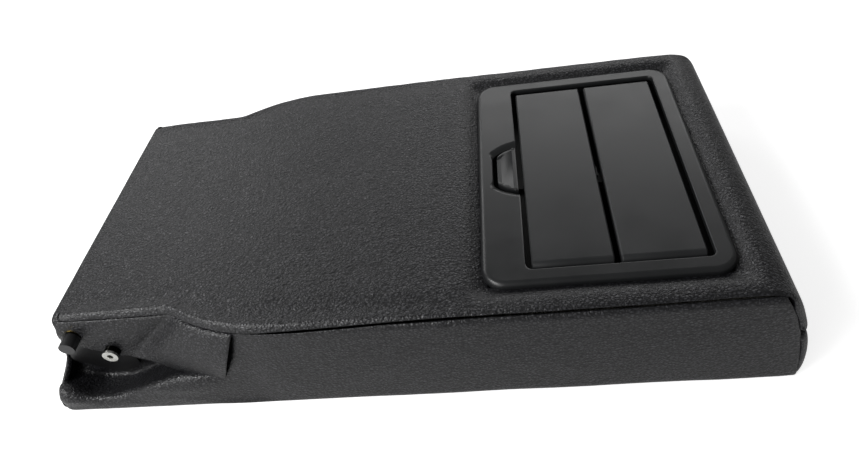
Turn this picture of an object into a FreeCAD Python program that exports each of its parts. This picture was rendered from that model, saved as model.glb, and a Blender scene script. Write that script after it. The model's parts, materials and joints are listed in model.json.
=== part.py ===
"""Rear seat armrest: a leather-covered foam block on a steel carrier, with hinge brackets and pins at its
rear end and a two-well cup holder under a pair of sprung lids near its front end.

Millimetres. +X points to the front of the armrest, +Y to its left, +Z up. The origin is on the underside,
at the middle of the outline.
"""
import FreeCAD, Part
import math
import os
import re
import Sketcher

# Driving sizes: name, value, meaning
SIZES = [
    ("top_length", 430, "length of the top"),
    ("top_width", 235, "width of the top"),
    ("height", 70, "underside to top"),
    ("rear_flare", 18, "how far the underside reaches behind the top"),
    ("front_flare", 15, "how far the underside reaches in front of the top"),
    ("side_flare", 4.5, "how far the underside reaches past each side of the top"),
    ("corner_radius", 10, "upright corners of the block"),
    ("top_bevel", 4, "bevel along the top edge"),
    ("base_bevel", 3, "bevel along the underside"),
    ("skin", 1.6, "thickness of the leather"),
    ("seat_gap", 0.3, "room between pieces that lie against each other"),
    ("top_seam_drop", 8, "seam under the top panel, below the top"),
    ("front_seam_drop", 29, "seam across the front end, below the top"),
    ("front_seam_inset", 12, "front corner seam, back from the top's front edge"),
    ("rear_seam_margin", 1, "rear corner seam behind the stop pin's hole"),
    ("base_seam", 4, "height of the seam round the underside"),
    ("recess_depth", 20.5, "depth of the hinge recess in each side"),
    ("taper_start_inset", 78, "start of the recess's slope, from the top's rear edge"),
    ("taper_end_inset", 125, "end of the recess's slope, from the top's rear edge"),
    ("seam_lean", 0.45, "forward lean of the recess's slope, per millimetre of height"),
    ("gutter", 7, "height of the recess's floor at its wall"),
    ("lip", 20, "height of the recess's floor at the side of the top"),
    ("bracket_thick", 3.5, "thickness of the hinge bracket"),
    ("bracket_margin", 8, "bracket edge round the pins"),
    ("bracket_lip", 6.5, "bracket above the stop pin"),
    ("bracket_reach", 7.5, "bracket in front of the pivot"),
    ("bracket_foot", 9, "lowest corner of the bracket, behind the pivot"),
    ("bracket_low", 10, "lowest point of the bracket"),
    ("bracket_tail", 17, "bracket behind the stop pin"),
    ("bracket_rise", 17, "rise of the bracket's rear corner"),
    ("bracket_round", 5, "corners of the bracket"),
    ("pivot_inset", 27, "pivot axis, from the top's rear edge"),
    ("pivot_drop", 30, "pivot axis below the top"),
    ("pivot_radius", 5, "journal of the pivot stud"),
    ("pivot_journal", 6, "length of the pivot journal"),
    ("pivot_bore", 2, "radius of the hole in the pivot stud's end"),
    ("pivot_bore_depth", 3.5, "depth of that hole"),
    ("stop_inset", 6.5, "stop pin axis, from the top's rear edge"),
    ("stop_drop", 15.5, "stop pin axis below the top"),
    ("stop_radius", 5, "outside of the stop sleeve"),
    ("stop_core", 3, "radius of the stop pin inside its sleeve"),
    ("stop_length", 9, "length of the stop sleeve"),
    ("sleeve_end", 1.5, "closed end of the stop sleeve"),
    ("collar_radius", 6, "collars of the studs and pins"),
    ("collar_thick", 2.5, "thickness of those collars"),
    ("shank_half", 3.5, "half of the square shanks through the bracket"),
    ("head_half", 5, "half of the square inner heads of those shanks"),
    ("head_thick", 2.5, "thickness of those heads"),
    ("flap_low", 15, "lowest point of the hinge flap"),
    ("flap_knee", 40, "knee of the flap's lower edge, from the top's rear edge"),
    ("flap_knee_height", 25, "height of that knee"),
    ("flap_rear_drop", 24, "flap's lower edge at its rear, below the top"),
    ("flap_nose_inset", 84, "front of the flap's lower edge, from the top's rear edge"),
    ("flap_front_height", 24, "flap's lower front corner"),
    ("flap_nose_rise", 3, "rise of the flap's lower edge to that corner"),
    ("carrier_thick", 2, "sheet of the carrier plate and its ears"),
    ("carrier_rear_gap", 16, "carrier plate, in from the rear of the underside"),
    ("carrier_front_gap", 24, "carrier plate, in from the front of the underside"),
    ("carrier_corner", 11, "rounding of the carrier plate's corners"),
    ("ear_margin", 6, "ear round the stop pin and the pivot"),
    ("ear_reach", 14, "ear in front of the pivot"),
    ("tube_radius", 9.5, "outside of the cross tube"),
    ("tube_wall", 2, "wall of the cross tube"),
    ("bezel_length", 141, "bezel along the armrest"),
    ("bezel_width", 202, "bezel across the armrest"),
    ("bezel_setback", 21, "bezel, back from the top's front edge"),
    ("bezel_thick", 3, "bezel flange"),
    ("bezel_corner", 14, "corners of the bezel"),
    ("bezel_bevel", 1.6, "bevel of the bezel's outer edge"),
    ("front_border", 11.5, "bezel in front of the opening"),
    ("open_length", 104, "opening along the armrest"),
    ("side_border", 11, "bezel beside the opening"),
    ("open_corner", 4, "corners of the opening"),
    ("rib_depth", 6, "locating rib under the bezel"),
    ("rib_thick", 2, "thickness of that rib"),
    ("flange_lap", 3.5, "bezel flange past the tub"),
    ("tub_wall", 2.5, "walls of the tub"),
    ("tub_corner", 3, "bevelled corners of the tub"),
    ("deck_drop", 15, "deck of the tub below the top"),
    ("well_radius", 37, "inside of each well"),
    ("well_margin", 13.5, "between a well and the tub's side wall"),
    ("tub_gap", 0.5, "room round the tub"),
    ("lid_thick", 2.5, "plate of each lid"),
    ("lid_depth", 6, "depth of each lid's rim"),
    ("lid_rim", 1.8, "thickness of that rim"),
    ("lid_roll", 4.5, "rounding at the ends of each lid"),
    ("lid_edge", 0.9, "bevel along each lid and down its ends"),
    ("lid_drop", 0.8, "lids below the bezel"),
    ("lid_gap", 3.5, "between a lid and the opening"),
    ("mid_gap", 3.7, "between the lids"),
    ("end_gap", 2, "between the lids' ends and the opening"),
    ("hinge_depth", 6, "hinge axis below a lid's top"),
    ("hinge_inset", 7, "hinge axis in from a lid's edge"),
    ("hinge_pin_radius", 1.5, "hinge pins"),
    ("hinge_play", 0.1, "room round a hinge pin or a shank"),
    ("knuckle_half", 2.5, "half of the width of the lids' knuckles and of the posts"),
    ("knuckle_flat", 1.1, "half of the flat at the end of a knuckle or a post"),
    ("post_inset", 12, "inner face of a hinge post, in from the opening"),
    ("post_width", 5, "width of a hinge post"),
    ("lug_width", 7, "width of a lid's knuckle"),
    ("lug_gap", 0.5, "between a knuckle and its post"),
    ("coil_length", 9.8, "length of a lid spring's coil"),
    ("coil_offset", 22, "start of a lid spring, from the middle"),
    ("coil_wire", 0.8, "wire of a lid spring"),
    ("leg_lift", 0.1, "offset of a lid spring's legs from its coil"),
    ("coil_leg", 13, "leg of a lid spring under its lid"),
    ("button_length", 10.5, "button along the armrest"),
    ("button_setback", 1.5, "button, back from the opening"),
    ("button_half_front", 21, "half of the button's front edge"),
    ("button_half_rear", 14.5, "half of the button's rear edge"),
    ("button_gap", 0.6, "room beside the button"),
    ("button_notch", 1.2, "room beside the button at the lids' opening"),
    ("ramp_inset", 1, "foot of the button's ramp, from the button's rear"),
    ("button_drop", 0.8, "button below the bezel"),
    ("button_depth", 5.2, "depth of the button"),
    ("button_round", 1, "rounding of the button's edge"),
    ("button_wing", 4, "wings that keep the button in the bezel"),
    ("button_wing_thick", 2.2, "thickness of those wings"),
    ("button_travel", 3, "travel of the button and the latch"),
    ("button_slot", 5.5, "open slot behind the button"),
    ("scoop_width", 5.5, "finger scoop at each end of the button"),
    ("scoop_depth", 1.7, "depth of that scoop"),
    ("leaf_thick", 0.6, "button spring strip"),
    ("leaf_width", 6, "width of that strip"),
    ("leaf_foot", 5, "foot of that strip on the deck"),
    ("leaf_run", 6, "run of that strip's arm"),
    ("leaf_start", 8, "start of that strip, from the middle"),
    ("latch_width", 9, "width of the latch slide"),
    ("latch_thick", 2.2, "plate of the latch slide"),
    ("latch_nose", 2, "noses of the latch slide"),
    ("latch_nose_height", 8.5, "height of the noses, from the slide's underside"),
    ("latch_room", 0.7, "room between a nose and its hook"),
    ("latch_end", 2, "latch slide behind the button"),
    ("tongue_thick", 2, "tongues under the lids"),
    ("tongue_half", 3.5, "half of a tongue's width"),
    ("tongue_inset", 1.9, "rear lid's tongue, in from its free edge"),
    ("tongue_step", 2.8, "front lid's tongue, in from its free edge"),
    ("tongue_depth", 10, "depth of a tongue below its lid"),
    ("hook_reach", 1.6, "hook of a tongue"),
    ("hook_height", 2, "height of that hook"),
    ("rail_width", 2, "rails beside the latch slide"),
    ("rail_height", 3, "height of those rails"),
    ("screw_head", 3.5, "heads of the tub screws"),
    ("screw_head_thick", 1.8, "thickness of those heads"),
    ("screw_radius", 1.9, "shanks of the tub screws"),
    ("screw_play", 0.15, "room round those shanks"),
]

# Places and sizes that follow from the driving sizes
DERIVED = {
    "base_length": "top_length + rear_flare + front_flare",
    "half_base": "top_width / 2 + side_flare",
    "half_top": "top_width / 2",
    "rear_base": "-base_length / 2",
    "front_base": "base_length / 2",
    "rear_top": "rear_base + rear_flare",
    "front_top": "front_base - front_flare",
    "past": "2 * recess_depth",
    "top_seam": "height - top_seam_drop",
    "front_seam": "height - front_seam_drop",
    "pivot_height": "height - pivot_drop",
    "stop_height": "height - stop_drop",
    "wall": "half_top - recess_depth",
    "bracket_face": "wall + bracket_thick",
    "flap_in": "bracket_face + seat_gap",
    "flap_face": "flap_in + skin",
    "taper_start": "rear_top + taper_start_inset",
    "taper_end": "rear_top + taper_end_inset",
    "taper_run": "(taper_end_inset - taper_start_inset) / recess_depth",
    "gutter_rise": "(lip - gutter) / recess_depth",
    "pivot_x": "rear_top + pivot_inset",
    "stop_x": "rear_top + stop_inset",
    "rear_cut": "stop_x - shank_half - seat_gap - rear_seam_margin",
    "flap_rear": "stop_x + collar_radius + seat_gap",
    "collar_face": "bracket_face + collar_thick",
    "ear_out": "wall - skin - seat_gap",
    "ear_in": "ear_out - carrier_thick",
    "head_in": "ear_in - head_thick",
    "carrier_low": "skin + seat_gap",
    "carrier_top": "carrier_low + carrier_thick",
    "bezel_front": "front_top - bezel_setback",
    "bezel_rear": "bezel_front - bezel_length",
    "bezel_low": "height + seat_gap",
    "bezel_top": "bezel_low + bezel_thick",
    "open_front": "bezel_front - front_border",
    "open_width": "bezel_width - 2 * side_border",
    "open_rear": "open_front - open_length",
    "tub_front": "bezel_front - flange_lap",
    "tub_rear": "bezel_rear + flange_lap",
    "tub_half": "bezel_width / 2 - flange_lap",
    "deck": "height - deck_drop",
    "well_x": "(open_front + open_rear) / 2",
    "well_y": "tub_half - tub_wall - well_margin - well_radius",
    "well_floor": "carrier_top + tub_wall",
    "lid_top": "bezel_top - lid_drop",
    "lid_low": "lid_top - lid_thick",
    "lid_width": "(open_length - 2 * lid_gap - mid_gap) / 2",
    "lid_half": "open_width / 2 - end_gap",
    "hinge_z": "lid_top - hinge_depth",
    "post_offset": "open_width / 2 - post_inset",
    "rear_edge": "open_rear + lid_gap",
    "front_edge": "open_front - lid_gap",
    "rear_free": "rear_edge + lid_width",
    "front_free": "front_edge - lid_width",
    "coil_radius": "hinge_pin_radius + hinge_play + coil_wire",
    "leg_offset": "coil_radius + leg_lift",
    "button_front": "open_rear - button_setback",
    "button_rear": "button_front - button_length",
    "button_top": "bezel_top - button_drop",
    "button_low": "button_top - button_depth",
    "latch_low": "deck + seat_gap",
    "latch_top": "latch_low + latch_thick",
    "wedge_low": "latch_top + button_travel + seat_gap",
    "ramp_top": "button_low - button_travel - seat_gap",
    "ramp_foot": "button_rear + ramp_inset",
    "tongue_low": "lid_low - tongue_depth",
    "rear_tongue": "rear_free - tongue_inset",
    "front_tongue": "front_free + tongue_step + tongue_thick",
    "rear_hook": "rear_tongue + hook_reach",
    "front_hook": "front_tongue + hook_reach",
}

SIZE_NAMES = {name for name, _, _ in SIZES}
WORD = re.compile(r"[a-z][a-z0-9_]*")
TURNS = {
    "y": FreeCAD.Rotation(FreeCAD.Vector(1, 0, 0), -90),
    "z": FreeCAD.Rotation(),
}
SIDES = (("left", 1), ("right", -1))
PINS = ("pivot", "stop")
FULL_TURN = 360
HALF_TURN = FreeCAD.Rotation(FreeCAD.Vector(0, 0, 1), FULL_TURN / 2)
CLOSE = 1e-4

doc = FreeCAD.newDocument("RearSeatArmrest")


def expression(text):
    """Expression on the sheet's cells for a text in size names and derived names."""

    def resolve(match):
        word = match.group()
        if word in DERIVED:
            return f"({expression(DERIVED[word])})"
        return f"Sizes.{word}" if word in SIZE_NAMES else word

    return WORD.sub(resolve, str(text))


def bind(item, **cells):
    """Ties an object's properties to expressions."""
    for name, text in cells.items():
        item.setExpression(name, expression(text))


def settle(item, x="0", y="0", z="0"):
    """Ties an object's place to expressions."""
    for axis, text in (("x", x), ("y", y), ("z", z)):
        item.setExpression(f"Placement.Base.{axis}", expression(text))


def box(name, x, y, z):
    """Block between pairs of limits."""
    solid = doc.addObject("Part::Box", name)
    spans = [f"({high}) - ({low})" for low, high in (x, y, z)]
    bind(solid, Length=spans[0], Width=spans[1], Height=spans[2])
    settle(solid, x[0], y[0], z[0])
    return solid


def rod(name, axis, start, radius, length):
    """Cylinder from its start point along an axis."""
    solid = doc.addObject("Part::Cylinder", name)
    solid.Placement = FreeCAD.Placement(FreeCAD.Vector(), TURNS[axis])
    bind(solid, Radius=radius, Height=length)
    settle(solid, *start)
    return solid


def cut(name, base, *tools):
    """Base without the tools."""
    for count, tool in enumerate(tools):
        step = doc.addObject("Part::Cut", name if count == len(tools) - 1 else f"{name}_{count}")
        step.Base = base
        step.Tool = tool
        base = step
    return base


def fuse(name, *parts):
    """One solid from parts that meet."""
    joined = doc.addObject("Part::MultiFuse", name)
    joined.Shapes = list(parts)
    joined.Refine = True
    return joined


def common(name, *parts):
    """What the parts share."""
    shared = doc.addObject("Part::MultiCommon", name)
    shared.Shapes = list(parts)
    return shared


def draw(sketch, loops):
    """Adds closed loops: lists of corners, or a centre and a radius for a circle."""
    for loop in loops:
        first = sketch.GeometryCount
        if isinstance(loop, dict):
            sketch.addGeometry(Part.Circle(FreeCAD.Vector(), FreeCAD.Vector(0, 0, 1), 1), False)
            hold(sketch, first, 3, loop["centre"])
            index = sketch.addConstraint(Sketcher.Constraint("Radius", first, 1))
            sketch.setExpression(f"Constraints[{index}]", expression(loop["radius"]))
            continue
        count = len(loop)
        turn = 2 * math.pi / count
        ring = [FreeCAD.Vector(math.cos(turn * i), math.sin(turn * i), 0) for i in range(count)]
        for i in range(count):
            sketch.addGeometry(Part.LineSegment(ring[i], ring[(i + 1) % count]), False)
        for i in range(count):
            sketch.addConstraint(Sketcher.Constraint("Coincident", first + i, 2, first + (i + 1) % count, 1))
        for i, corner in enumerate(loop):
            hold(sketch, first + i, 1, corner)


def hold(sketch, line, end, place):
    """Fixes a sketch point at a pair of expressions."""
    for kind, text in zip(("DistanceX", "DistanceY"), place):
        index = sketch.addConstraint(Sketcher.Constraint(kind, -1, 1, line, end, 1))
        sketch.setExpression(f"Constraints[{index}]", expression(text))


def rectangle(x0, x1, y0, y1):
    """Corners of a rectangle."""
    return [(x0, y0), (x1, y0), (x1, y1), (x0, y1)]


def new_body(name):
    return doc.addObject("PartDesign::Body", name)


def sketch_on(body, plane, loops, level="0"):
    """Sketch on one of the body's own planes, raised to a level along that plane's world axis."""
    sketch = body.newObject("Sketcher::SketchObject", f"{body.Name}_Sketch")
    support = next(item for item in body.Origin.OriginFeatures if item.Role == f"{plane}_Plane")
    sketch.AttachmentSupport = [(support, "")]
    sketch.MapMode = "FlatFace"
    sign = -1 if plane == "XZ" else 1
    sketch.setExpression("AttachmentOffset.Base.z", expression(f"{sign} * ({level})"))
    draw(sketch, loops)
    doc.recompute()
    return sketch


def pad(body, plane, loops, span):
    """Adds a profile between two limits along the plane's world axis."""
    start, length = span[1] if plane == "XZ" else span[0], f"({span[1]}) - ({span[0]})"
    feature = body.newObject("PartDesign::Pad", f"{body.Name}_Pad")
    feature.Profile = sketch_on(body, plane, loops, start)
    bind(feature, Length=length)
    doc.recompute()
    return body


def pocket(body, plane, loops, span):
    """Cuts a profile between two limits along the plane's world axis."""
    start, length = span[0] if plane == "XZ" else span[1], f"({span[1]}) - ({span[0]})"
    feature = body.newObject("PartDesign::Pocket", f"{body.Name}_Pocket")
    feature.Profile = sketch_on(body, plane, loops, start)
    bind(feature, Length=length)
    doc.recompute()
    return body


def turned(name, section):
    """Turned piece about the Y axis from corners of its half section, as radius and distance along Y."""
    body = new_body(name)
    feature = body.newObject("PartDesign::Revolution", f"{name}_Turn")
    profile = sketch_on(body, "XY", [section])
    feature.Profile = profile
    feature.ReferenceAxis = (profile, ["V_Axis"])
    feature.Angle = FULL_TURN
    doc.recompute()
    return body


def round_edges(body, wanted, radius):
    """Rounds the edges of the body's last feature that a test picks."""
    base = body.Tip
    names = [f"Edge{i}" for i, edge in enumerate(base.Shape.Edges, 1) if wanted(edge)]
    feature = body.newObject("PartDesign::Fillet", f"{body.Name}_Round")
    feature.Base = (base, names)
    bind(feature, Radius=radius)
    doc.recompute()
    return body


def bevel_edges(body, wanted, size):
    """Bevels the edges that a test picks."""
    base = body.Tip
    names = [f"Edge{i}" for i, edge in enumerate(base.Shape.Edges, 1) if wanted(edge)]
    feature = body.newObject("PartDesign::Chamfer", f"{body.Name}_Bevel")
    feature.Base = (base, names)
    bind(feature, Size=size)
    doc.recompute()
    return body


def at_level(body, pick):
    """Test for edges that lie flat at the lowest (min) or highest (max) corner of the body so far."""
    level = pick(corner.Z for corner in body.Tip.Shape.Vertexes)
    return lambda edge: all(abs(corner.Z - level) < CLOSE for corner in edge.Vertexes)


def rises(edge):
    """Test for edges that climb from one level to another."""
    return edge.BoundBox.ZLength > CLOSE


def runs_along(edge, axis):
    """Test for straight edges along an axis."""
    spans = {"x": edge.BoundBox.XLength, "y": edge.BoundBox.YLength, "z": edge.BoundBox.ZLength}
    return spans.pop(axis) > CLOSE and max(spans.values()) < CLOSE


def upright(edge):
    return runs_along(edge, "z")


def cushion_form(name, inset):
    """Block that flares towards its underside, set in by a wall."""
    body = new_body(name)
    low = f"({inset})"
    high = f"(height - {inset})"
    side_view = [
        (f"rear_base + {inset}", low),
        (f"front_base - {inset}", low),
        (f"front_top - {inset}", high),
        (f"rear_top + {inset}", high),
    ]
    pad(body, "XZ", [side_view], (f"-half_base + {inset}", f"half_base - {inset}"))
    for _, side in SIDES:
        base_edge = f"{side} * (half_base - {inset})"
        flare = [(base_edge, low), (base_edge, high), (f"{side} * (half_top - {inset})", high)]
        pocket(body, "YZ", [flare], ("rear_base", "front_base"))
    round_edges(body, rises, f"corner_radius - {inset}")
    bevel_edges(body, at_level(body, max), f"top_bevel - {inset} / 2")
    bevel_edges(body, at_level(body, min), f"base_bevel - {inset} / 2")
    return body


def leaning_prism(name, corners):
    """Plan profile raised from the underside to past the top along the lean of the flap's seam."""
    sketch = doc.addObject("Sketcher::SketchObject", f"{name}_Sketch")
    draw(sketch, [[(f"{x} - seam_lean * height", y) for x, y in corners]])
    prism = doc.addObject("Part::Extrusion", name)
    prism.Base = sketch
    prism.DirMode = "Custom"
    prism.Solid = True
    prism.setExpression("Dir.x", expression("seam_lean * (height + past)"))
    prism.setExpression("Dir.y", "0")
    prism.setExpression("Dir.z", expression("height + past"))
    return prism


def hinge_recess(name, side, inset):
    """Room cut from one side for the hinge: a wall, a slope out to the side and a falling floor."""
    wall = f"(wall - {inset})"
    outer = "(half_top + past)"
    far_end = f"taper_start + taper_run * ({outer} - {wall})"
    behind = "(rear_base - past)"
    last = f"{behind} + seam_lean * height"
    plan = [(behind, wall), ("taper_start", wall), (far_end, outer), (last, outer)]
    prism = leaning_prism(f"{name}_Plan", [(x, f"{side} * {y}") for x, y in plan])
    floor_out = f"gutter - {inset} + gutter_rise * ({outer} - {wall})"
    section = [
        (wall, f"gutter - {inset}"),
        (outer, floor_out),
        (outer, "height + past"),
        (f"flap_face - {inset}", "height + past"),
        (f"flap_face - {inset}", f"top_seam + {inset}"),
        (wall, f"top_seam + {inset}"),
    ]
    channel = new_body(f"{name}_Section")
    pad(channel, "YZ", [[(f"{side} * ({y})", z) for y, z in section]], (behind, "front_base"))
    return common(name, prism, channel)


def recessed_form(name, inset):
    """Cushion form with both hinge recesses."""
    recesses = [hinge_recess(f"{name}_{label}", side, inset) for label, side in SIDES]
    return cut(f"{name}_Recessed", cushion_form(name, inset), *recesses)


def everywhere():
    """Limits past the part on every side."""
    return {
        "x": ("rear_base - past", "front_base + past"),
        "y": ("-half_base - past", "half_base + past"),
        "z": ("-past", "height + past"),
    }


def leather_panels(skin):
    """Leather cut along its seams into the panels it is sewn from."""
    whole = everywhere()
    front_cut = "front_top - front_seam_inset"
    past_front = (front_cut, whole["x"][1])
    middle = ("base_seam", "top_seam")
    opening = box(
        "InsertOpening",
        ("tub_rear - tub_gap", "tub_front + tub_gap"),
        ("-tub_half - tub_gap", "tub_half + tub_gap"),
        ("deck", whole["z"][1]),
    )
    over_top = box("OverTop", whole["x"], whole["y"], ("top_seam", whole["z"][1]))
    over_front = box("OverFront", past_front, whole["y"], ("front_seam", whole["z"][1]))
    regions = {
        "front_panel": box("FrontRegion", past_front, whole["y"], ("base_seam", "front_seam")),
        "rear_panel": box("RearRegion", (whole["x"][0], "rear_cut"), whole["y"], middle),
        "base_panel": box("BaseRegion", whole["x"], whole["y"], (whole["z"][0], "base_seam")),
        "left_side_panel": box("LeftRegion", ("rear_cut", front_cut), ("0", whole["y"][1]), middle),
        "right_side_panel": box("RightRegion", ("rear_cut", front_cut), (whole["y"][0], "0"), middle),
    }
    top = common("TopLeather", skin, fuse("TopRegion", over_top, over_front))
    panels = {"top_panel": cut("TopPanel", top, opening)}
    for label, region in regions.items():
        panels[label] = common(label.title().replace("_", ""), skin, region)
    for label, side in SIDES:
        node = f"{label}_side_panel"
        span = ("head_in", "bracket_face")
        holes = [square_bar(f"{label}{pin}Hole", pin, side, "shank_half + seat_gap", span) for pin in PINS]
        panels[node] = cut(f"{label.title()}SideHoles", panels[node], *holes)
    return panels


def square_bar(name, pin, side, half, span):
    """Square bar on the axis of a stud or pin of one side, between two distances from the middle."""
    across = span if side > 0 else (f"-({span[1]})", f"-({span[0]})")
    along = (f"{pin}_x - ({half})", f"{pin}_x + ({half})")
    return box(name, along, across, (f"{pin}_height - ({half})", f"{pin}_height + ({half})"))


def hinge_flap(label, side):
    """Leather gusset over the bracket: it hangs from the top seam and follows the slope out to the side."""
    knee = "taper_start + taper_run * (flap_in - seat_gap - wall)"
    inner = [("rear_base", "flap_in"), (knee, "flap_in"), ("taper_end", "half_top + seat_gap")]
    outer = [(x, f"{y} + skin") for x, y in reversed(inner)]
    sheet = leaning_prism(f"{label}FlapSheet", [(x, f"{side} * ({y})") for x, y in inner + outer])
    top = "top_seam - seat_gap"
    profile = [
        ("flap_rear", top),
        (f"taper_end - seam_lean * (height - ({top}))", top),
        ("taper_end - seam_lean * (height - flap_front_height)", "flap_front_height"),
        ("rear_top + flap_nose_inset", "flap_low + flap_nose_rise"),
        ("rear_top + flap_nose_inset - recess_depth", "flap_low"),
        ("rear_top + flap_knee", "flap_knee_height"),
        ("flap_rear", "height - flap_rear_drop"),
    ]
    outline = new_body(f"{label}FlapOutline")
    span = ("wall", "half_base + past") if side > 0 else ("-half_base - past", "-wall")
    pad(outline, "XZ", [profile], span)
    clear = "(collar_radius + seat_gap)"
    slot = box(
        f"{label}FlapSlot",
        (f"pivot_x - {clear}", f"pivot_x + {clear}"),
        span,
        ("0", f"pivot_height + {clear}"),
    )
    return cut(f"{label}Flap", common(f"{label}FlapWhole", sheet, outline), slot)


def bracket(label, side):
    """Painted steel plate round the pivot and the stop pin."""
    profile = [
        ("stop_x - bracket_margin", "stop_height + bracket_lip"),
        ("stop_x + bracket_margin", "stop_height + bracket_lip"),
        ("pivot_x + bracket_reach", "pivot_height + bracket_margin"),
        ("pivot_x + bracket_reach", "bracket_low + bracket_margin"),
        ("pivot_x - bracket_foot", "bracket_low"),
        ("stop_x - bracket_tail", "bracket_low + bracket_rise"),
    ]
    body = new_body(f"{label}Bracket")
    span = ("wall", "bracket_face") if side > 0 else ("-bracket_face", "-wall")
    pad(body, "XZ", [profile], span)
    round_edges(body, lambda edge: runs_along(edge, "y"), "bracket_round")
    return pocket(body, "XZ", shank_squares(), span)


def shank_squares():
    """Holes for the square shanks of the pivot stud and the stop pin, in side view."""
    half = "(shank_half + hinge_play)"
    squares = []
    for pin in PINS:
        x = f"{pin}_x"
        z = f"{pin}_height"
        squares.append(rectangle(f"{x} - {half}", f"{x} + {half}", f"{z} - {half}", f"{z} + {half}"))
    return squares


def set_on_axis(piece, pin, side):
    """Sets a turned piece on the axis of a stud or pin of one side."""
    if side < 0:
        piece.Placement = FreeCAD.Placement(FreeCAD.Vector(), HALF_TURN)
    settle(piece, x=f"{pin}_x", z=f"{pin}_height")
    return piece


def shanked(name, pin, side, section):
    """Turned end of a stud or pin with its collar, on a square shank with a square inner head."""
    collar = [("0", "bracket_face"), ("collar_radius", "bracket_face"), ("collar_radius", "collar_face")]
    end = set_on_axis(turned(f"{name}End", collar + section), pin, side)
    shank = square_bar(f"{name}Shank", pin, side, "shank_half", ("ear_in", "bracket_face"))
    head = square_bar(f"{name}Head", pin, side, "head_half", ("head_in", "ear_in"))
    return fuse(name, end, shank, head)


def pivot_stud(label, side):
    """Plated stud with a collar, a journal and a hole in its end."""
    end = "(collar_face + pivot_journal)"
    return shanked(f"{label}Pivot", "pivot", side, [
        ("pivot_radius", "collar_face"),
        ("pivot_radius", end),
        ("pivot_bore", end),
        ("pivot_bore", f"{end} - pivot_bore_depth"),
        ("0", f"{end} - pivot_bore_depth"),
    ])


def stop_pin(label, side):
    """Plated pin with a collar and a core for its sleeve."""
    end = "(collar_face + stop_length - sleeve_end - seat_gap)"
    core = [("stop_core", "collar_face"), ("stop_core", end), ("0", end)]
    return shanked(f"{label}Stop", "stop", side, core)


def stop_sleeve(label, side):
    """Buffer sleeve, closed at its outer end."""
    end = "(collar_face + stop_length)"
    sleeve = turned(f"{label}Sleeve", [
        ("stop_core + hinge_play", "collar_face"),
        ("stop_radius", "collar_face"),
        ("stop_radius", end),
        ("0", end),
        ("0", f"{end} - sleeve_end"),
        ("stop_core + hinge_play", f"{end} - sleeve_end"),
    ])
    return set_on_axis(sleeve, "stop", side)


def carrier():
    """Pressed steel plate with an upturned ear at each side of the hinge."""
    body = new_body("Carrier")
    rear, front = "rear_base + carrier_rear_gap", "front_base - carrier_front_gap"
    outline = rectangle(rear, front, "-ear_out", "ear_out")
    pad(body, "XY", [outline], ("carrier_low", "carrier_top"))
    round_edges(body, upright, "carrier_corner")
    ear_rear = "stop_x - ear_margin"
    ear_front = "pivot_x + ear_reach"
    ear_top = "stop_height + ear_margin"
    profile = [
        (ear_rear, "carrier_low"),
        (f"{ear_front} + ear_reach", "carrier_low"),
        (ear_front, "pivot_height + ear_margin"),
        ("stop_x + ear_margin", ear_top),
        (ear_rear, ear_top),
    ]
    pad(body, "XZ", [profile], ("ear_in", "ear_out"))
    pad(body, "XZ", [profile], ("-ear_out", "-ear_in"))
    screws = [{"centre": place, "radius": "screw_radius + screw_play"} for place in screw_places()]
    pocket(body, "XY", screws, ("carrier_low", "carrier_top"))
    return pocket(body, "XZ", shank_squares(), ("-half_base", "half_base"))


def screw_places():
    """Centres of the tub screws, one in each well."""
    return [("well_x", f"{side} * well_y") for _, side in SIDES]


def cross_tube():
    """Tube between the ears on the pivot axis."""
    outer = rod("TubeOutside", "y", ("pivot_x", "-ear_in", "pivot_height"), "tube_radius", "2 * ear_in")
    start = ("pivot_x", "-ear_in", "pivot_height")
    inner = rod("TubeInside", "y", start, "tube_radius - tube_wall", "2 * ear_in")
    return cut("CrossTube", outer, inner)


def foam_core(form):
    """Foam with room for the tub, the carrier and its ears, and the cross tube."""
    room = box(
        "TubRoom",
        ("tub_rear - tub_gap", "tub_front + tub_gap"),
        ("-tub_half - tub_gap", "tub_half + tub_gap"),
        ("carrier_low - seat_gap", "height + past"),
    )
    plate = box(
        "CarrierRoom",
        ("rear_base + carrier_rear_gap - seat_gap", "front_base - carrier_front_gap + seat_gap"),
        ("-ear_out - seat_gap", "ear_out + seat_gap"),
        ("carrier_low - seat_gap", "carrier_top + seat_gap"),
    )
    ear_spans = {
        "left": ("head_in - seat_gap", "ear_out + seat_gap"),
        "right": ("-ear_out - seat_gap", "-head_in + seat_gap"),
    }
    ears = [
        box(
            f"{label}EarRoom",
            ("stop_x - ear_margin - seat_gap", "pivot_x + 2 * ear_reach + seat_gap"),
            span,
            ("carrier_low", "stop_height + ear_margin + seat_gap"),
        )
        for label, span in ear_spans.items()
    ]
    tubes = [
        square_bar(f"{label}TubeRoom", "pivot", side, "tube_radius + seat_gap", ("0", "ear_in"))
        for label, side in SIDES
    ]
    return cut("FoamCore", form, room, plate, *ears, *tubes)


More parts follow.
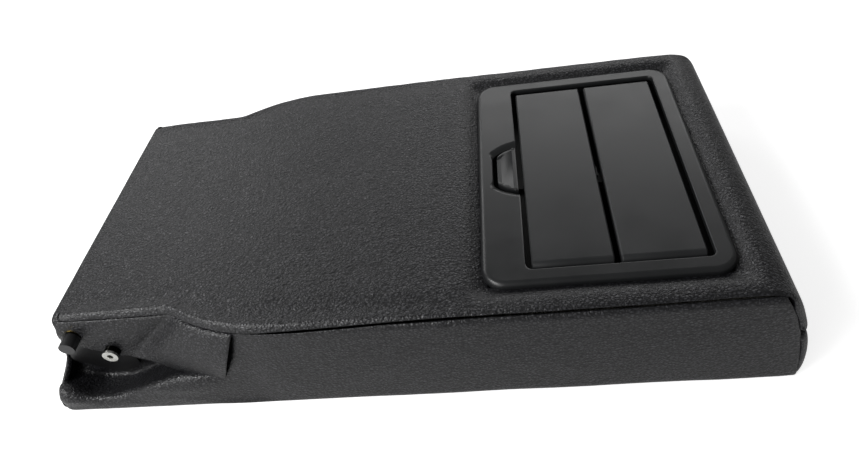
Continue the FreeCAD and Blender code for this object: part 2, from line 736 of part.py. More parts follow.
def cup_tub():
    """Moulded tub: a walled deck, two wells, hinge posts and the latch slide's rails."""
    body = new_body("Tub")
    outline = rectangle("tub_rear", "tub_front", "-tub_half", "tub_half")
    side = "(tub_half - tub_wall)"
    hollow = rectangle("tub_rear + tub_wall", "tub_front - tub_wall", f"-{side}", side)
    wells = screw_places()
    pad(body, "XY", [outline], ("deck - tub_wall", "height"))
    bevel_edges(body, upright, "tub_corner")
    pocket(body, "XY", [hollow], ("deck", "height"))
    for place in wells:
        pad(body, "XY", [{"centre": place, "radius": "well_radius + tub_wall"}], ("carrier_top", "deck"))
    for place in wells:
        pocket(body, "XY", [{"centre": place, "radius": "well_radius"}], ("well_floor", "deck"))
    rail_in = "latch_width / 2 + seat_gap"
    for _, side in SIDES:
        edges = (f"{side} * ({rail_in})", f"{side} * ({rail_in} + rail_width)")
        pad(body, "XY", [rectangle("rear_edge", "rear_hook", *edges)], ("deck", "deck + rail_height"))
    screws = [{"centre": place, "radius": "screw_radius + screw_play"} for place in screw_places()]
    pocket(body, "XY", screws, ("carrier_top", "well_floor"))
    posts = []
    for end, axis in lid_axes():
        for label, side in SIDES:
            posts.append(hinge_post(f"{end}{label}Post", axis, side))
    return fuse("CupTub", body, *posts)


def lid_axes():
    """Hinge axis of each lid, as its distance along the armrest."""
    return (("Rear", "rear_edge + hinge_inset"), ("Front", "front_edge - hinge_inset"))


def hinge_post(name, axis, side):
    """Post on the deck that holds one end of a hinge pin."""
    near = "post_offset" if side > 0 else "-post_offset - post_width"
    return knuckle(name, axis, (near, f"{near} + post_width"), "deck", 1, "hinge_pin_radius")


def knuckle(name, axis, span, root, tip, bore):
    """Bored eye on a stem from its root, its tip pointing up (1) or down (-1) with bevelled corners."""
    shoulder = f"hinge_z + {tip} * knuckle_flat"
    end = f"hinge_z + {tip} * knuckle_half"
    profile = [
        (f"{axis} - knuckle_half", root),
        (f"{axis} + knuckle_half", root),
        (f"{axis} + knuckle_half", shoulder),
        (f"{axis} + knuckle_flat", end),
        (f"{axis} - knuckle_flat", end),
        (f"{axis} - knuckle_half", shoulder),
    ]
    body = pad(new_body(name), "XZ", [profile], span)
    return pocket(body, "XZ", [{"centre": (axis, "hinge_z"), "radius": bore}], span)


def tub_screws():
    """Pan head screws through the well floors into the carrier plate."""
    screws = []
    for count, (x, y) in enumerate(screw_places()):
        head = rod(f"ScrewHead{count}", "z", (x, y, "well_floor"), "screw_head", "screw_head_thick")
        reach = "well_floor - carrier_low"
        shank = rod(f"ScrewShank{count}", "z", (x, y, "carrier_low"), "screw_radius", reach)
        screws.append(fuse(f"Screw{count}", head, shank))
    group = doc.addObject("Part::Compound", "TubScrews")
    group.Links = screws
    return group


def bezel():
    """Moulded frame with the lids' opening, the button's slot and its finger scoops."""
    body = new_body("Bezel")
    outline = rectangle("bezel_rear", "bezel_front", "-bezel_width / 2", "bezel_width / 2")
    pad(body, "XY", [outline], ("bezel_low", "bezel_top"))
    round_edges(body, upright, "bezel_corner")
    bevel_edges(body, at_level(body, max), "bezel_bevel")
    scoop_rear = "button_rear - button_slot"
    scoop = [
        (scoop_rear, "-button_half_rear - button_gap"),
        ("open_rear", "-button_half_front - scoop_width"),
        ("open_rear", "button_half_front + scoop_width"),
        (scoop_rear, "button_half_rear + button_gap"),
    ]
    slot = [
        (scoop_rear, "-button_half_rear - button_gap"),
        ("button_rear", "-button_half_rear - button_gap"),
        ("open_rear", "-button_half_front - button_notch"),
        ("open_rear", "button_half_front + button_notch"),
        ("button_rear", "button_half_rear + button_gap"),
        (scoop_rear, "button_half_rear + button_gap"),
    ]
    pocket(body, "XY", [scoop], ("bezel_top - scoop_depth", "bezel_top"))
    pocket(body, "XY", [slot], ("bezel_low", "bezel_top"))
    inner, hollow = (
        rectangle(f"tub_rear + {wall}", f"tub_front - {wall}", f"-tub_half + {wall}", f"tub_half - {wall}")
        for wall in ("(tub_wall + seat_gap)", "(tub_wall + seat_gap + rib_thick)")
    )
    rib = new_body("BezelRib")
    pad(rib, "XY", [inner], ("bezel_low - rib_depth", "bezel_low"))
    pocket(rib, "XY", [hollow], ("bezel_low - rib_depth", "bezel_low"))
    opening = new_body("BezelOpening")
    window = rectangle("open_rear", "open_front", "-open_width / 2", "open_width / 2")
    pad(opening, "XY", [window], ("bezel_low", "bezel_top"))
    round_edges(opening, upright, "open_corner")
    return fuse("BezelFrame", cut("BezelFlange", body, opening), rib)


def lid(name, edge, ahead, tongue):
    """Moulded lid with rolled ends, a rim, two knuckles and a latch tongue.

    edge is its hinged edge, ahead is 1 where the lid lies in front of that edge and -1 behind it,
    and tongue is the front face of its latch tongue.
    """
    axis = f"({edge} + {ahead} * hinge_inset)"
    free = f"({edge} + {ahead} * lid_width)"
    body = new_body(name)
    pad(body, "XY", [rectangle(edge, free, "-lid_half", "lid_half")], ("lid_top - lid_depth", "lid_top"))
    top_edge = at_level(body, max)
    round_edges(body, lambda item: runs_along(item, "x") and top_edge(item), "lid_roll")
    bevel_edges(body, lambda item: runs_along(item, "y") and top_edge(item), "lid_edge")
    inside = "(lid_half - lid_rim)"
    hollow = rectangle(f"{edge} - {ahead} * lid_rim", f"{free} - {ahead} * lid_rim", f"-{inside}", inside)
    pocket(body, "XY", [hollow], ("lid_top - lid_depth", "lid_low"))
    pieces = []
    for label, side in SIDES:
        far = "post_offset - lug_gap" if side > 0 else "-post_offset + lug_gap + lug_width"
        low = f"{far} - lug_width"
        clear = "hinge_pin_radius + hinge_play"
        pieces.append(knuckle(f"{name}{label}Knuckle", axis, (low, far), "lid_low", -1, clear))
    blade = new_body(f"{name}Tongue")
    profile = [
        (f"{tongue} - tongue_thick", "lid_low"),
        (f"{tongue} - tongue_thick", "tongue_low"),
        (tongue, "tongue_low"),
        (f"{tongue} + hook_reach", "tongue_low + hook_height"),
        (tongue, "tongue_low + hook_height"),
        (tongue, "lid_low"),
    ]
    pad(blade, "XZ", [profile], ("-tongue_half", "tongue_half"))
    return fuse(f"{name}Whole", body, *pieces, blade)


def hinge_pin(name, axis):
    """Steel pin through both posts."""
    reach = "(post_offset + post_width)"
    return rod(name, "y", (axis, f"-{reach}", "hinge_z"), "hinge_pin_radius", f"2 * {reach}")


def lid_spring(name, axis, ahead):
    """Close-wound torsion spring on a hinge pin, with one leg on the deck and one under the lid."""
    inner = "hinge_pin_radius + hinge_play"
    last = "(coil_offset + coil_length)"
    coil = turned(f"{name}Coil", [
        (inner, "coil_offset"),
        ("coil_radius", "coil_offset"),
        ("coil_radius", last),
        (inner, last),
    ])
    settle(coil, x=axis, z="hinge_z")
    foot = f"{axis} + {ahead} * leg_offset - coil_wire / 2"
    first_turn = ("coil_offset", "coil_offset + coil_wire")
    down = box(f"{name}Down", (foot, f"{foot} + coil_wire"), first_turn, ("deck", "hinge_z"))
    reach = (axis, f"{axis} + coil_leg") if ahead > 0 else (f"{axis} - coil_leg", axis)
    low = "hinge_z + leg_offset - coil_wire / 2"
    under = box(f"{name}Under", reach, (f"{last} - coil_wire", last), (low, f"{low} + coil_wire"))
    return fuse(name, coil, down, under)


def release_button():
    """Push button with wings under the bezel and a wedge that drives the latch slide."""
    body = new_body("Button")
    plan = [
        ("button_rear", "-button_half_rear"),
        ("button_front", "-button_half_front"),
        ("button_front", "button_half_front"),
        ("button_rear", "button_half_rear"),
    ]
    pad(body, "XY", [plan], ("button_low", "button_top"))
    round_edges(body, at_level(body, max), "button_round")
    wing = "(button_half_front + button_wing)"
    wings = rectangle("button_rear + button_round", "button_front", f"-{wing}", wing)
    pad(body, "XY", [wings], ("button_low", "button_low + button_wing_thick"))
    foot = "(ramp_foot - seat_gap)"
    wedge = [
        ("ramp_foot", "button_low"),
        ("ramp_foot", "wedge_low"),
        (f"{foot} + wedge_low - latch_top", "wedge_low"),
        (f"{foot} + button_low - latch_top", "button_low"),
    ]
    return pad(body, "XZ", [wedge], ("-latch_width / 2", "latch_width / 2"))


def latch_slide():
    """Slide with a ramp under the button and a nose in front of each lid's hook."""
    ramp_run = "(ramp_top - latch_top)"
    nose_top = "latch_low + latch_nose_height"
    rear_nose = "(rear_hook + latch_room)"
    front_nose = "(front_hook + latch_room)"
    profile = [
        ("button_rear - latch_end", "latch_low"),
        (f"{front_nose} + latch_nose", "latch_low"),
        (f"{front_nose} + latch_nose", nose_top),
        (front_nose, nose_top),
        (front_nose, "latch_top"),
        (f"{rear_nose} + latch_nose", "latch_top"),
        (f"{rear_nose} + latch_nose", nose_top),
        (rear_nose, nose_top),
        (rear_nose, "latch_top"),
        (f"ramp_foot + {ramp_run} + latch_nose", "latch_top"),
        (f"ramp_foot + {ramp_run} + latch_nose", "ramp_top"),
        (f"ramp_foot + {ramp_run}", "ramp_top"),
        ("ramp_foot", "latch_top"),
        ("button_rear - latch_end", "latch_top"),
    ]
    return pad(new_body("Latch"), "XZ", [profile], ("-latch_width / 2", "latch_width / 2"))


def button_springs():
    """Two bent strips of spring steel that hold the button up from the deck."""
    arm_end = "(leaf_start + leaf_foot + leaf_run)"
    rest = "(button_low - seat_gap)"
    profile = [
        ("leaf_start", "deck"),
        ("leaf_start + leaf_foot", "deck"),
        (f"{arm_end} + leaf_thick", rest),
        (f"{arm_end} - leaf_thick", rest),
        ("leaf_start + leaf_foot - leaf_thick", "deck + leaf_thick"),
        ("leaf_start", "deck + leaf_thick"),
    ]
    span = ("button_front - leaf_width - button_gap", "button_front - button_gap")
    strips = []
    for label, side in SIDES:
        strip = new_body(f"{label}Leaf")
        strips.append(pad(strip, "YZ", [[(f"{side} * ({y})", z) for y, z in profile]], span))
    group = doc.addObject("Part::Compound", "ButtonSprings")
    group.Links = strips
    return group


def fill_sheet():
    """Spreadsheet with each driving size, its value and its meaning."""
    sheet = doc.addObject("Spreadsheet::Sheet", "Sizes")
    for row, (name, value, meaning) in enumerate(SIZES, 1):
        sheet.set(f"A{row}", name)
        sheet.set(f"B{row}", str(value))
        sheet.setAlias(f"B{row}", name)
        sheet.set(f"C{row}", meaning)
    doc.recompute()


def hinge_pieces(label, side):
    """Flap, bracket, stud, pin and sleeve of one side."""
    return {
        f"{label}_hinge_flap": hinge_flap(label.title(), side),
        f"{label}_bracket": bracket(label.title(), side),
        f"{label}_pivot_stud": pivot_stud(label.title(), side),
        f"{label}_stop_pin": stop_pin(label.title(), side),
        f"{label}_stop_sleeve": stop_sleeve(label.title(), side),
    }


def assemble():
    """Every sub-part by the name of its node."""
    outside = recessed_form("Outside", "0")
    lining = recessed_form("Lining", "skin")
    nodes = leather_panels(cut("Leather", outside, lining))
    nodes["foam_core"] = foam_core(recessed_form("Foam", "(skin + seat_gap)"))
    for label, side in SIDES:
        nodes.update(hinge_pieces(label, side))
    nodes["carrier_plate"] = carrier()
    nodes["cross_tube"] = cross_tube()
    nodes["cup_tub"] = cup_tub()
    nodes["tub_screws"] = tub_screws()
    nodes["bezel"] = bezel()
    nodes["rear_lid"] = lid("RearLid", "rear_edge", 1, "rear_tongue")
    nodes["front_lid"] = lid("FrontLid", "front_edge", -1, "front_tongue")
    for (end, axis), ahead in zip(lid_axes(), (1, -1)):
        nodes[f"{end.lower()}_hinge_pin"] = hinge_pin(f"{end}HingePin", axis)
        nodes[f"{end.lower()}_lid_spring"] = lid_spring(f"{end}Spring", axis, ahead)
    nodes["release_button"] = release_button()
    nodes["button_springs"] = button_springs()
    nodes["latch_slide"] = latch_slide()
    for label, piece in nodes.items():
        piece.Label = label
    doc.recompute()
    return nodes


def check(nodes):
    """Stops where a feature failed, a pocket cut nothing or a sub-part is not a sound solid."""
    for item in doc.Objects:
        if "Invalid" in item.State or "Error" in item.State:
            raise ValueError(f"{item.Label} failed: {item.State}")
        if item.TypeId != "PartDesign::Pocket":
            continue
        if item.Shape.Volume > item.BaseFeature.Shape.Volume - CLOSE:
            raise ValueError(f"{item.Label} cuts nothing")
    for label, piece in nodes.items():
        if piece.Shape.isNull() or not piece.Shape.isValid() or not piece.Shape.Solids:
            raise ValueError(f"{label} is not a sound solid")


def write(nodes):
    """One STEP file for each sub-part."""
    os.makedirs("parts", exist_ok=True)
    for label, piece in nodes.items():
        piece.Shape.exportStep(f"parts/{label}.step")


fill_sheet()
SUBPARTS = assemble()
check(SUBPARTS)
write(SUBPARTS)
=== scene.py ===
"""Looks of a padded leather rear seat armrest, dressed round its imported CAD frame.

Lengths are in metres, and lists of points in millimetres.
"""

import json
import math

import bmesh
import bpy
from mathutils import Matrix, Vector, noise


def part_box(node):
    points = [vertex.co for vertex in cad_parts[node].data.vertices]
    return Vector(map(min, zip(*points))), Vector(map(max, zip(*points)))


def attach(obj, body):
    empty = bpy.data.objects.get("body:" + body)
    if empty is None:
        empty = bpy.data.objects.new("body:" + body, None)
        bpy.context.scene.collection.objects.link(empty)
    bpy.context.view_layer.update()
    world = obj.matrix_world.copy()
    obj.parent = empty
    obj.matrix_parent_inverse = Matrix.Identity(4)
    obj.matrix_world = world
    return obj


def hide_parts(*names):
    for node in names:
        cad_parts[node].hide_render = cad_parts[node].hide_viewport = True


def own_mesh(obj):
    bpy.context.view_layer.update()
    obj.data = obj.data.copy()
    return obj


MM = 0.001
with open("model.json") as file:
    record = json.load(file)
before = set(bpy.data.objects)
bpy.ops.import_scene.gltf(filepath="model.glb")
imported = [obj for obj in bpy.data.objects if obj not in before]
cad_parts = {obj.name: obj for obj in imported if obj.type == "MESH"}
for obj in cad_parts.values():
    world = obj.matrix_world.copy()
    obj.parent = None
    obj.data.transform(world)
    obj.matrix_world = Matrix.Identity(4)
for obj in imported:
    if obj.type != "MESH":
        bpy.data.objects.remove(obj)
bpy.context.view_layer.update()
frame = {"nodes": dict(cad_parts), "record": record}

# The leather block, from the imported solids
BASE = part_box("base_panel")
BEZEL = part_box("bezel")
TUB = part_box("cup_tub")
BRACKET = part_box("left_bracket")
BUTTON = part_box("release_button")
TOP_Z = 71.3 * MM
REAR_BASE, FRONT_BASE = BASE[0].x - 3 * MM, BASE[1].x
HALF_BASE = BASE[1].y + 1.8 * MM

# How far the underside reaches past the top
REAR_FLARE = 18 * MM
SIDE_FLARE = 3.8 * MM
HALF_TOP = HALF_BASE - SIDE_FLARE

# Radius of each sewn edge, and the turn at which its roll meets the seam
EDGE = 5.5 * MM
END_EDGE = 6.5 * MM
END_TURN = math.radians(70)
CORNER_EDGE = 3 * MM
CORNER_TURN = math.radians(60)
REAR_ROLL = 4.5 * MM
REAR_TURN = math.radians(48)
BASE_EDGE = 3.5 * MM
BASE_TURN = math.radians(40)

# Room that each panel leaves for the seam, and how deep it dives into it
SEAM_GAP = math.radians(2.5)
DIVE = 4 * MM

# The leather's thickness, and the size of a panel's cells
LEATHER = 1.5 * MM
CELL = 5 * MM

# How the padding swells
CROWN = 2.6 * MM
PILLOW = 3 * MM
BEZEL_SINK = 3.2 * MM
SIDE_SWELL = 0.8 * MM
SIDE_BOW = 2.6 * MM
FOAM_TOP = TOP_Z - 8 * MM

# The hinge end, where each side steps in behind a gusset, and the lean of the gusset's front seam
HINGE_HALF = 101 * MM
STEP_START = -136 * MM
STEP_END = -74 * MM
GUSSET_START = -215 * MM
GUSSET_END = -92 * MM
SEAM_LEAN = 0.36

# Front end in side view: from the top's flat to the seam across it, and from that seam to the underside
FRONT_WRAP = [
    (200, 71.3), (206.4, 71.2), (211.8, 70.5), (215.9, 68.6), (219.3, 65), (221.7, 60.5), (224.1, 54.5),
    (226.2, 48.5), (227.8, 43.5), (228.2, 41.6), (226.8, 40.9), (222, 40.7),
]
FRONT_FOOT = [
    (222, 39.3), (226.2, 39.4), (228.1, 38.4), (230, 33), (231.7, 25), (232.6, 17), (232.8, 9), (232.2, 4),
    (230.8, 1.2), (226, 0.4),
]

# Seam down each front corner, as (z, x)
CORNER_SEAM = [
    (-2, 230.4), (0, 230.2), (20, 228), (39, 224.2), (54.5, 219.4), (63, 215.6), (68.5, 212.4), (72, 210),
]

# Rear end in side view: from the underside to its top seam, and the top's own edge there
REAR_RISE = [
    (-229, 0.4), (-234.6, 1.2), (-236, 4), (-235, 10), (-231, 22), (-225.8, 38), (-221, 54), (-219, 62),
    (-217.6, 66.6), (-216.6, 68.2), (-215.2, 68.4), (-210, 66.4),
]
TOP_REAR = [(-210, 67.6), (-214.6, 69.2), (-215.6, 70), (-214, 70.9), (-210.4, 71.3), (-202, 71.3)]

# Half width of the rear end, as (z, half)
REAR_EDGE = [(0, 122.4), (8, 122), (16, 119), (22, 110), (28, 102.5), (38, 100.5), (70, 100)]

# Underside in side view
BASE_RUN = [(-229, 0.3), (0, 0), (226, 0.3)]

# Lower edge of each side, as (in from the edge, z)
SIDE_FOOT = [(5, 0.9), (2.5, 0.1), (0.6, 0.2), (0, 1.2)]

# Crest of the leather lip under the hinge, as (x, z)
LIP = [
    (-236, 23), (-228, 22), (-221, 19.5), (-212, 14), (-200, 11.5), (-184, 15.5), (-167, 23), (-147, 28.5),
    (-130, 30), (-100, 30),
]

# Free edge of the gusset from the rear to the crease and on to its front seam, as (x, distance from the middle, z)
GUSSET_REAR = [(-219, 101.5, 52), (-208, 103.2, 45), (-198, 103.8, 39.5), (-188, 104, 34), (-178, 104.5, 32)]
GUSSET_FRONT = [(-178, 104.5, 32), (-160, 109, 30.5), (-143, 114.2, 27.6), (-126, 118.8, 26), (-110, 121.6, 26.5)]

# The bezel: its corners, its opening as (rear, front, half width, corner), and its moulded edges
BEZEL_CORNER = 14 * MM
OPENING = (80.4 * MM, 184 * MM, 90 * MM, 4 * MM)
BEZEL_LIP = 0.6 * MM
BEZEL_THICK = 3.2 * MM
BEZEL_RIM = 3.4 * MM
SCOOP = 2.4 * MM

# Turn past which a moulded edge stays crisp
CRISP = math.radians(38)

# The button's slot, the scoop round it and the button in plan, as (x, distance from the middle)
SLOT_EDGE = [(80.4, 24.2), (76.5, 22.9), (71.5, 20.6), (67, 17.4), (64.6, 14.6), (64, 11.5)]
SCOOP_EDGE = [(80.4, 28.4), (75.6, 27.2), (70, 24.7), (64.8, 20.9), (61.6, 16.9), (63.4, 11.5)]
BUTTON_EDGE = [(79.9, 21.8), (76, 20.6), (71.8, 18.6), (68.8, 16), (67.2, 13.6), (66.8, 11)]

# Rolled edges of the bezel and the button, as (in from the edge, below the top)
BEZEL_ROLL = [(2.1, 0.25), (1, 0.9), (0.25, 2.1), (0, 3.6), (0.4, 5.6)]
BUTTON_ROLL = [(0.2, 0.2), (0.7, 0), (1.3, 0), (1.9, 0), (2.6, 0)]

# How deep the button is dished between its rims
BUTTON_DISH = 0.7 * MM

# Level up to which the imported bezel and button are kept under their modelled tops
MECHANISM_TOP = 69.4 * MM

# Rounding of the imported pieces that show
ROUNDED = {
    "rear_lid": 0.5 * MM,
    "front_lid": 0.5 * MM,
    "left_pivot_stud": 0.5 * MM,
    "right_pivot_stud": 0.5 * MM,
    "left_stop_sleeve": 0.7 * MM,
    "right_stop_sleeve": 0.7 * MM,
}

# Sizes of the finishes' patterns; the grain, the moulded texture and the pores are drawn coarser than real to show
GRAIN = 1.6 * MM
GRAIN_WARP = 5 * MM
GRAIN_CREASE = 1.7 * MM
GRAIN_DEPTH = 0.14 * MM
HIDE_PATCH = 80 * MM
SPARK_GRAIN = 0.5 * MM
SCUFF = 25 * MM
STEEL_PATCH = 3 * MM
FOAM_PORE = 1.5 * MM

# Where a pin's yellow collar gives way to its shank, painted near black as a painted reflection of the dark
# leather, and where its worn end begins, out from the middle
PAINTED_DARK_SHANK = (102 * MM, 102.8 * MM)
WORN_END = (107.2 * MM, 107.6 * MM)

# White floor and sky: what they add for the camera, and for the sheen on the object
FLOOR_HALF = 6
FLOOR_LIFT = 0.72
FLOOR_IN_SHEEN = 0.16
SKY_LIGHT = 0.17
SKY_SEEN = 0.84

# Studio lamps, as (name, place, aim, width, height, watts)
LAMPS = [
    ("back", (0.35, 1.7, 0.95), (0.05, 0, 0.05), 1.8, 0.7, 9),
    ("back_left", (-1.1, 1.3, 1.0), (-0.1, 0, 0.05), 1.0, 0.7, 6),
    ("front_left", (-0.9, -1.0, 0.7), (-0.05, 0, 0.05), 0.9, 0.6, 7),
    ("left", (-0.8, -0.45, 1.0), (-0.1, -0.1, 0.05), 0.7, 0.25, 11),
]

# Camera fitted to the photograph's straight edges
CAMERA_PLACE = Vector((78.5, -335.9, 354.9)) * MM
CAMERA_YAW = -0.191
CAMERA_PITCH = 0.774
CAMERA_ROLL = -0.218
IMAGE_WIDTH = 861
FOCAL_PIXELS = 650.6
SENSOR = 36


def smooth_step(low, high, value):
    """0 below low, 1 above high, with an even slope between."""
    share = min(max((value - low) / (high - low), 0), 1)
    return share * share * (3 - 2 * share)


def mix(first, second, share):
    """Value that lies a share of the way from the first to the second."""
    return first + (second - first) * share


def curve(points, count):
    """Evenly spaced points, in metres, on a smooth curve through points given in millimetres."""
    knots = [Vector(point) * MM for point in points]
    ends = [knots[0] * 2 - knots[1], *knots, knots[-1] * 2 - knots[-2]]
    fine = []
    for before, start, end, after in zip(ends, ends[1:], ends[2:], ends[3:]):
        for step in range(12):
            t = step / 12
            bend = 2 * before - 5 * start + 4 * end - after
            twist = 3 * start - before - 3 * end + after
            fine.append(0.5 * (2 * start + (end - before) * t + bend * t * t + twist * t ** 3))
    fine.append(knots[-1])
    lengths = [0.0]
    for start, end in zip(fine, fine[1:]):
        lengths.append(lengths[-1] + (end - start).length)
    spaced = []
    index = 0
    for step in range(count):
        target = lengths[-1] * step / (count - 1)
        while index < len(fine) - 2 and lengths[index + 1] < target:
            index += 1
        span = lengths[index + 1] - lengths[index]
        spaced.append(fine[index].lerp(fine[index + 1], min(1, (target - lengths[index]) / span)))
    return spaced


def height_on(points, place):
    """Height at a place on a smooth line through (place, height) points given in millimetres."""
    fine = curve(points, 160)
    if place <= fine[0].x:
        return fine[0].y
    for start, end in zip(fine, fine[1:]):
        if place <= end.x:
            return mix(start.y, end.y, (place - start.x) / (end.x - start.x))
    return fine[-1].y


def fullness(x):
    """How far the sides bow out at the top, most beside the cup holder."""
    share = max(-1, min(1, (x - 90 * MM) / (190 * MM)))
    return SIDE_BOW * (1 - share * share)


def half_width(x):
    """Half of the block's width at the top: narrower at the hinge end, bowed out beside the cup holder."""
    left = 1 - min(max((x - STEP_START) / (STEP_END - STEP_START), 0), 1)
    return mix(HINGE_HALF, HALF_TOP + fullness(x), 1 - left * left)


def side_out(x, z):
    """Half width of the plain side at a height: flared to the underside, swollen at half height."""
    rise = z / TOP_Z
    flare = (SIDE_FLARE - 0.7 * fullness(x)) * (1 - rise)
    return half_width(max(x, GUSSET_END)) + flare + SIDE_SWELL * math.sin(math.pi * min(1, max(0, rise)))


def seam_turn(x):
    """Turn at which the top's roll meets its side seam: low on the side at the hinge end, higher at the front."""
    turn = mix(68, 32, smooth_step(-110 * MM, 60 * MM, x))
    return math.radians(mix(44, turn, smooth_step(-216 * MM, -204 * MM, x)))


def swell(x, y):
    """Height that the top swells by: a crown over the open part and a pillow round the bezel."""
    across = 1 - min(1, abs(y) / half_width(x)) ** 16
    lengthwise = smooth_step(-215 * MM, -80 * MM, x) * (1 - smooth_step(198 * MM, 216 * MM, x))
    outside = max(BEZEL[0].x - x, x - BEZEL[1].x, BEZEL[0].y - y, y - BEZEL[1].y)
    open_part = smooth_step(20 * MM, 70 * MM, outside)
    raised = mix(PILLOW, CROWN, open_part) * across * lengthwise
    return mix(-BEZEL_SINK, raised, smooth_step(-1 * MM, 9 * MM, outside))


def rumple(spot):
    """Small unevenness of stretched leather."""
    broad = noise.noise(spot / (45 * MM))
    fine = noise.noise(spot / (14 * MM) + Vector((7, 3, 1)))
    return broad * 0.5 * MM + fine * 0.16 * MM


def folds(x, z):
    """Slack leather round the hinge: uneven folds that fade out towards the plain side."""
    slack = 1 - smooth_step(-165 * MM, -105 * MM, x)
    long_folds = noise.noise(Vector((x / (22 * MM), z / (9 * MM), 4)))
    short_folds = noise.noise(Vector((x / (9 * MM), z / (6 * MM), 9)))
    return (long_folds + 0.5 * short_folds) * 1.8 * MM * slack * smooth_step(2 * MM, 9 * MM, z)


def tension(x, from_seam):
    """Short wrinkles that run in from a seam."""
    wander = noise.noise(Vector((x / (30 * MM), 5, 2)))
    pull = math.sin(x / (3.1 * MM) + wander * 6) * (0.6 + 0.4 * wander)
    return pull * 0.22 * MM * math.exp(-from_seam / (14 * MM))


def bead(x, from_seam):
    """The top's edge stands up along its side seams, with a shallow valley behind, most at the hinge end."""
    ridge = (from_seam - 3.5 * MM) / (2.6 * MM)
    valley = (from_seam - 12 * MM) / (6 * MM)
    share = mix(1, 0.3, smooth_step(-40 * MM, 90 * MM, x)) * smooth_step(-216 * MM, -196 * MM, x)
    return (1.1 * math.exp(-ridge * ridge) - 0.7 * math.exp(-valley * valley)) * share * MM


def mesh_piece(name, bm, material, node, body="armrest", smooth=True):
    """A finished bmesh as a piece of a body that stands in for a CAD node."""
    mesh = bpy.data.meshes.new(name)
    bm.to_mesh(mesh)
    bm.free()
    for face in mesh.polygons:
        face.use_smooth = smooth
    piece = bpy.data.objects.new(name, mesh)
    bpy.context.collection.objects.link(piece)
    mesh.materials.append(material)
    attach(piece, body)
    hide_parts(node)
    return piece


def shaped_grid(rows):
    """Grid whose vertices are set from rows of points."""
    bm = bmesh.new()
    made = bmesh.ops.create_grid(bm, x_segments=len(rows[0]) - 1, y_segments=len(rows) - 1, size=0.5)
    for vert in made["verts"]:
        column = round((vert.co.x + 0.5) * (len(rows[0]) - 1))
        row = round((vert.co.y + 0.5) * (len(rows) - 1))
        vert.co = rows[row][column]
    return bm


def leather_panel(name, bm, outward, material, node):
    """A shaped sheet as a panel of leather, with its thickness inwards, smoothed."""
    bmesh.ops.recalc_face_normals(bm, faces=bm.faces)
    lean = sum(face.normal.dot(Vector(outward)) * face.calc_area() for face in bm.faces)
    if lean < 0:
        bmesh.ops.reverse_faces(bm, faces=bm.faces)
    piece = mesh_piece(name, bm, material, node)
    solid = piece.modifiers.new("Thickness", "SOLIDIFY")
    solid.thickness = LEATHER
    solid.offset = -1
    smooth = piece.modifiers.new("Smooth", "SUBSURF")
    smooth.levels = 1
    smooth.render_levels = 1
    return piece


def edge_roll(radius, last):
    """Steps of a panel's edge from its flat to the seam and into it, as (in from the edge, below the flat)."""
    turns = [last * step / 5 for step in range(6)]
    steps = [(radius * (1 - math.sin(turn)), radius * (1 - math.cos(turn))) for turn in turns]
    inward, below = steps[-1]
    steps.append((inward + 0.3 * MM, below + 0.7 * MM))
    steps.append((inward + DIVE * 0.6, below + DIVE * 0.5))
    steps.append((inward + DIVE, below + DIVE * 0.6))
    return steps


def swept_panel(profile, outward, half_at, roll_at):
    """Rows of a panel drawn across the block along a profile in side view, its two edges rolled to their seams.

    outward is 1 where the panel faces left of the profile's run and -1 where right; roll_at gives the radius of
    the edges and the turn at which they meet their seams.
    """
    count = round(half_at(profile[len(profile) // 2]) * 2 / CELL)
    rows = []
    for index, spot in enumerate(profile):
        radius, last = roll_at(spot)
        run = profile[min(index + 1, len(profile) - 1)] - profile[max(index - 1, 0)]
        normal = Vector((-run.y, run.x)).normalized() * outward
        half = half_at(spot)
        flat = half - radius
        edge = [(half - inward, spot - normal * below) for inward, below in edge_roll(radius, last)]
        row = [Vector((low.x, -out, low.y)) for out, low in reversed(edge)]
        row += [Vector((spot.x, mix(-flat, flat, step / count), spot.y)) for step in range(1, count)]
        row += [Vector((low.x, out, low.y)) for out, low in edge]
        rows.append(row)
    return rows


def top_leather(material):
    """Top panel: crowned, rolled into its seams, hung over the front edge, and open for the cup holder."""
    rear = curve(TOP_REAR, 9)
    front = curve(FRONT_WRAP, 20)
    count = round((front[0].x - rear[-1].x) / CELL)
    flat = [rear[-1].lerp(front[0], step / count) for step in range(1, count)]

    def half_at(spot):
        return half_width(spot.x) + SIDE_FLARE * max(0, 1 - spot.y / TOP_Z)

    def roll_at(spot):
        turned = smooth_step(TOP_Z - 0.5 * MM, TOP_Z - 8 * MM, spot.y) if spot.x > 0 else 0
        return mix(EDGE, END_EDGE, turned), mix(seam_turn(spot.x), END_TURN, turned) - SEAM_GAP

    rows = swept_panel(rear + flat + front, 1, half_at, roll_at)
    for row in rows:
        for spot in row:
            x, y, z = spot
            from_seam = max(0, half_width(x) - abs(y))
            lift = swell(x, y) + rumple(spot) * 0.6 + tension(x, from_seam) + bead(x, from_seam)
            spot.z += lift * smooth_step(TOP_Z - 12 * MM, TOP_Z - 1 * MM, z)
    bm = shaped_grid(rows)
    low, high = TUB
    for level, normal in ((low.x, (1, 0, 0)), (high.x, (1, 0, 0)), (low.y, (0, 1, 0)), (high.y, (0, 1, 0))):
        everything = bm.verts[:] + bm.edges[:] + bm.faces[:]
        bmesh.ops.bisect_plane(bm, geom=everything, plane_co=Vector(normal) * level, plane_no=normal)
    centres = {face: face.calc_center_median() for face in bm.faces}
    hole = [face for face, spot in centres.items() if low.x < spot.x < high.x and abs(spot.y) < high.y]
    bmesh.ops.delete(bm, geom=hole, context="FACES")
    leather_panel("top_leather", bm, (0, 0, 1), material, "top_panel")


